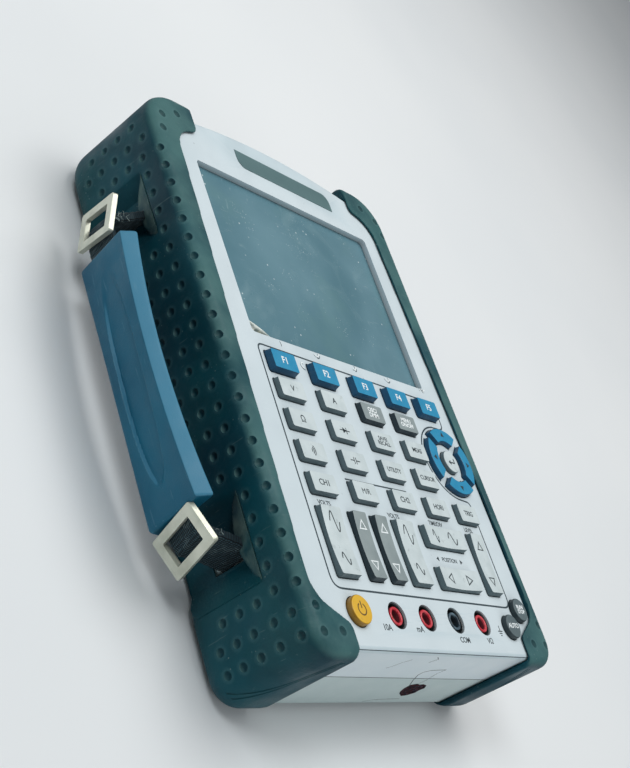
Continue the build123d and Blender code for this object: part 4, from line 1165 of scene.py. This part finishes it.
def buckle_frames():
    """Middle, direction along the strap, long side and outward direction of each buckle."""
    mesh = nodes["strap_buckles"].data
    frames = []
    for upper in (True, False):
        points = [v.co.copy() for v in mesh.vertices if (v.co.y > 0) == upper]
        low = Vector([min(p[i] for p in points) for i in range(3)])
        high = Vector([max(p[i] for p in points) for i in range(3)])
        middle = (low + high) / 2
        angle, roll, twist = (-103.0, -22.0, 14.0) if upper else (-70.0, 9.5, 14.0)
        along = Vector((math.cos(math.radians(angle)), math.sin(math.radians(angle)), 0))
        out = along.cross(Vector((0, 0, 1)))
        side = Vector((0, 0, 1)) * math.cos(math.radians(twist)) + out * math.sin(math.radians(twist))
        facing = along.cross(side)
        turned = along * math.cos(math.radians(roll)) + side * math.sin(math.radians(roll))
        frames.append((middle, turned, facing.cross(turned).normalized(), facing))
    return frames


WEBBING_WIDTH = 17.0


def strap_path(points, axes, count=90):
    """Places and width directions along a smooth curve through points."""
    samples = []
    spans = len(points) - 1
    for i in range(count + 1):
        t = i / count * spans
        k = min(int(t), spans - 1)
        f = t - k
        p0, p1 = points[max(k - 1, 0)], points[k]
        p2, p3 = points[k + 1], points[min(k + 2, spans)]
        position = 0.5 * ((2 * p1) + (p2 - p0) * f + (2 * p0 - 5 * p1 + 4 * p2 - p3) * f * f
                          + (3 * p1 - p0 - 3 * p2 + p3) * f ** 3)
        axis = axes[k].lerp(axes[k + 1], f).normalized()
        samples.append((position, axis))
    return samples


def strap_section(half_thickness):
    """Section of folded webbing in mm: flat sides and round edges."""
    half_width = WEBBING_WIDTH / 2
    outline = []
    for k in range(33):
        w = half_width * (1 - 2 * k / 32)
        squeeze = min(1.0, (half_width - abs(w)) / 0.5)
        outline.append((w, half_thickness * (0.75 + 0.25 * math.sqrt(1 - (1 - squeeze) ** 2))))
    return outline + [(w, -t) for w, t in reversed(outline)]


def tongue(bm, points, axes, half_thickness):
    """Folded webbing along points, its width along axes, with a round fold at its first end."""
    floats = bm.verts.layers.float
    across_layer = floats.get("across") or floats.new("across")
    along_layer = floats.get("along") or floats.new("along")
    samples = strap_path(points, axes)
    distance = 0.0
    rings = []
    for i, (position, axis) in enumerate(samples):
        before = samples[max(i - 1, 0)][0]
        after = samples[min(i + 1, len(samples) - 1)][0]
        normal = axis.cross((after - before).normalized()).normalized()
        distance += (position - before).length / MM
        to_fold = min(1.0, (distance + 0.05) / half_thickness)
        fold = math.sqrt(1 - (1 - to_fold) ** 2)
        ring = []
        for w, t in strap_section(half_thickness):
            wobble = 0.12 * math.sin(distance * 1.9 + w * 0.4)
            vertex = bm.verts.new(position + axis * w * MM + normal * (t * fold + wobble) * MM)
            vertex[across_layer] = w
            vertex[along_layer] = distance + (0.3 if t < 0 else 0.0)
            ring.append(vertex)
        rings.append(ring)
    close_tube(bm, rings)
    return samples


def threads(samples, generator, name):
    """Loose pale threads along the edges of worn webbing."""
    curve = bpy.data.curves.new(name, "CURVE")
    curve.dimensions = "3D"
    curve.bevel_depth = 0.00011
    curve.bevel_resolution = 1
    for _ in range(34):
        position, axis = samples[generator.randrange(4, 45)]
        side = generator.choice((1, 1, 1, -1))
        start = position + axis * side * WEBBING_WIDTH / 2 * MM * generator.uniform(0.75, 1.0)
        spline = curve.splines.new("POLY")
        spline.points.add(5)
        point = start.copy()
        way = (axis * side + Vector([generator.uniform(-1, 1) for _ in range(3)])).normalized()
        for k in range(6):
            spline.points[k].co = (*point, 1.0)
            way = (way + Vector([generator.uniform(-0.7, 0.7) for _ in range(3)])).normalized()
            point = point + way * 0.0005
    obj = put_in_scene(name, curve)
    mesh = evaluated_mesh(obj)
    bpy.data.objects.remove(obj)
    return mesh


def webbing():
    """Webbing from the bars in the pockets to the buckles and from there into the grip.

    It ends on the bars as a solid tongue: it doesn't loop round them, and so it overlaps them.
    """
    up = Vector((0, 0, 1))
    bm = bmesh.new()
    generator = random.Random(7)
    pale = ink("thread", "8b9a99", 0.9)
    ends = ((at(-73.5, 70.5, 25.2), Vector((strap_x, grip_high.y - 0.004, 0.0265)), 1),
            (at(-73.5, -75.5, 25.2), Vector((strap_x, grip_low.y + 0.004, 0.0255)), -1))
    for number, ((middle, along, side, out), (bar, inside, sign)) in enumerate(zip(buckle_frames(), ends)):
        fold = middle + along * sign * 0.1 * MM - out * 1.5 * MM
        leave = fold + (bar - fold) * 0.35 - out * 1.0 * MM
        near = tongue(bm, [fold, leave, bar], [side, side.lerp(up, 0.4), up], 1.75)
        tail_fold = middle - along * sign * 0.1 * MM - out * 1.9 * MM
        under = middle + along * sign * 6.6 * MM - out * 3.0 * MM
        grip_axis = Vector((-math.sin(GRIP_LEAN), 0, math.cos(GRIP_LEAN)))
        tongue(bm, [tail_fold, under, inside], [side, side.lerp(grip_axis, 0.4), grip_axis], 1.3)
        loose = threads(near, generator, f"strap_threads_{number + 1}")
        new_object(f"strap_threads_{number + 1}", loose, pale, "hand_strap", 0)
    piece = new_object("strap_webbing_woven", mesh_from(bm, "strap_webbing_woven"), webbing_cloth,
                       "hand_strap", 45)
    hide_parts("strap_webbing")


webbing()


# ---------------------------------------------------------------- dark sleeves in the jack openings: painted shade
def jack_shade_sleeves():
    """A thin dark sleeve inside each jack opening: painted shade deep in the well."""
    first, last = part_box("jack_contacts")
    radius = (last.y - first.y) / 2
    count = 4
    step = (last.x - first.x - 2 * radius) / (count - 1)
    bm = bmesh.new()
    top, bottom = panel_top - 0.0006, panel_top - 0.012
    for i in range(count):
        middle = Vector((first.x + radius + step * i, (first.y + last.y) / 2, 0))
        rings = []
        for size, z in ((5.26, bottom), (5.26, top), (4.85, top - 0.0002), (4.7, bottom)):
            rings.append([bm.verts.new(middle + Vector((size * MM * math.cos(math.pi * k / 24),
                                                        size * MM * math.sin(math.pi * k / 24), z)))
                          for k in range(48)])
        bridge(bm, zip(rings, rings[1:] + rings[:1]))
    new_object("jack_shade_sleeves", mesh_from(bm, "jack_shade_sleeves"), port_plastic_and_well_shade, "case", 35)


jack_shade_sleeves()


# ---------------------------------------------------------------- wear: torn film on the display
def torn_film():
    """A protective film that has come loose in the lower left corner of the display."""
    paint = Paint("torn_film", 0.3, coat=0.3)
    tone = paint.mix(paint.noise(500, 0.35, 0.65, 4), colour("5f6c68"), colour("a3a795"))
    tone = paint.mix(paint.ramp(paint.attribute("rim"), 0.72, 0.95), tone, colour("dfe6df"))
    paint.base(tone)
    paint.bump(paint.noise(500, 0.3, 0.7, 3), 0.00006)
    bm = bmesh.new()
    rim_layer = bm.verts.layers.float.new("rim")
    low_z = window_high.z / MM + 0.12
    corner = Vector((-57.9, 8.9))
    start, end = Vector((-58.5, 15.4)), Vector((-43.6, 8.2))
    columns, rows = 30, 10
    grid = []
    for i in range(columns + 1):
        s = i / columns
        arch = math.sin(math.pi * s)
        edge = start.lerp(end, s) - Vector((0.25, 0.5)) * arch * 1.6
        base = (start.lerp(corner, s / 0.4) if s < 0.4 else corner.lerp(end, (s - 0.4) / 0.6))
        line = []
        for j in range(rows + 1):
            t = j / rows
            spot = base.lerp(edge, t)
            vertex = bm.verts.new(at(spot.x, spot.y, low_z + 1.6 * t ** 2.5 * arch ** 0.6))
            vertex[rim_layer] = t
            line.append(vertex)
        grid.append(line)
    for near, far in zip(grid, grid[1:]):
        for j in range(rows):
            bm.faces.new((near[j], near[j + 1], far[j + 1], far[j]))
    obj = new_object("torn_film", mesh_from(bm, "torn_film"), paint.material, "case", 60)
    thick = obj.modifiers.new("thickness", "SOLIDIFY")
    thick.thickness = 0.00018


def chips():
    """White chips and curls of film along the display's lower edge, and a curl beside the second key."""
    second = centre("key_f2")
    beside_x = (second.x - middle_x) / MM - 9.9
    beside_y = (second.y - middle_y) / MM + 3.4
    pale = bmesh.new()
    for x, y, size, turn in ((-20.2, 7.2, 1.5, 200), (5.2, 6.8, 1.3, 230), (29.6, 7.0, 1.5, 190),
                             (58.4, 8.6, 1.6, 120), (56.9, 6.6, 1.2, 330), (beside_x, beside_y, 1.2, 60)):
        stroke(pale, arc(size, turn, turn + 210, x, y, 12), 0.5)
    origin = at(0, 0, panel_top / MM)
    lay_marks("film_chips", pale, "front_shell", origin, white_ink, 0.25, beside="display_window")
    # painted shadows: dark arcs beside the chips and the torn film's edge
    dark = bmesh.new()
    for x, y, size, turn in ((-19.6, 6.6, 1.5, 250), (5.8, 6.2, 1.3, 270), (30.2, 6.4, 1.5, 240),
                             (59.0, 7.8, 1.6, 160), (beside_x + 0.5, beside_y - 0.5, 1.3, 180)):
        stroke(dark, arc(size, turn, turn + 110, x, y, 8), 0.4)
    stroke(dark, [(-43.8, 8.3), (-43.0, 7.2), (-42.7, 6.0), (-42.8, 4.9)], 0.35)
    lay_marks("film_shadows", dark, "front_shell", origin, line_ink_and_painted_shadow, beside="display_window")


chips()
torn_film()


# ---------------------------------------------------------------- floor, light and camera
def floor():
    bpy.ops.mesh.primitive_plane_add(size=8.0, location=(0.5, 0.8, -0.0002))
    obj = bpy.context.object
    obj.name = "floor"
    paint = Paint("floor_paper", 0.85, specular=0.2)
    paint.base(paint.mix(paint.noise(3, 0.3, 0.7, 3), colour("f2f4f5"), colour("eceff1")))
    obj.data.materials.append(paint.material)


def area_light(name, location, size, power, tint):
    """A softbox that faces the object."""
    data = bpy.data.lights.new(name, "AREA")
    data.shape = "RECTANGLE"
    data.size, data.size_y = size
    data.energy = power
    data.color = tint
    obj = bpy.data.objects.new(name, data)
    bpy.context.scene.collection.objects.link(obj)
    obj.location = location
    obj.rotation_euler = (-Vector(location)).to_track_quat("-Z", "Y").to_euler()


floor()
area_light("softbox_top", (0.30, 0.30, 1.2), (0.9, 0.9), 8.5, (1.0, 0.995, 0.98))
area_light("softbox_left", (-0.75, 0.35, 1.25), (0.5, 0.5), 5.5, (0.93, 0.98, 1.0))
area_light("softbox_front", (0.1, -1.2, 0.5), (0.8, 0.6), 2.4, (0.96, 1.0, 1.0))
world = bpy.data.worlds.new("studio")
bpy.context.scene.world = world
world.use_nodes = True
world.node_tree.nodes["Background"].inputs["Color"].default_value = (0.93, 0.97, 1.0, 1.0)
world.node_tree.nodes["Background"].inputs["Strength"].default_value = 0.25

camera_data = bpy.data.cameras.new("camera")
camera_data.lens = CAMERA_LENS
camera = bpy.data.objects.new("camera", camera_data)
bpy.context.scene.collection.objects.link(camera)
camera.location = window_face + Vector(CAMERA_FROM_WINDOW)
camera.rotation_euler = [math.radians(a) for a in CAMERA_ANGLES]
bpy.context.scene.camera = camera
bpy.context.scene.view_settings.view_transform = "Standard"
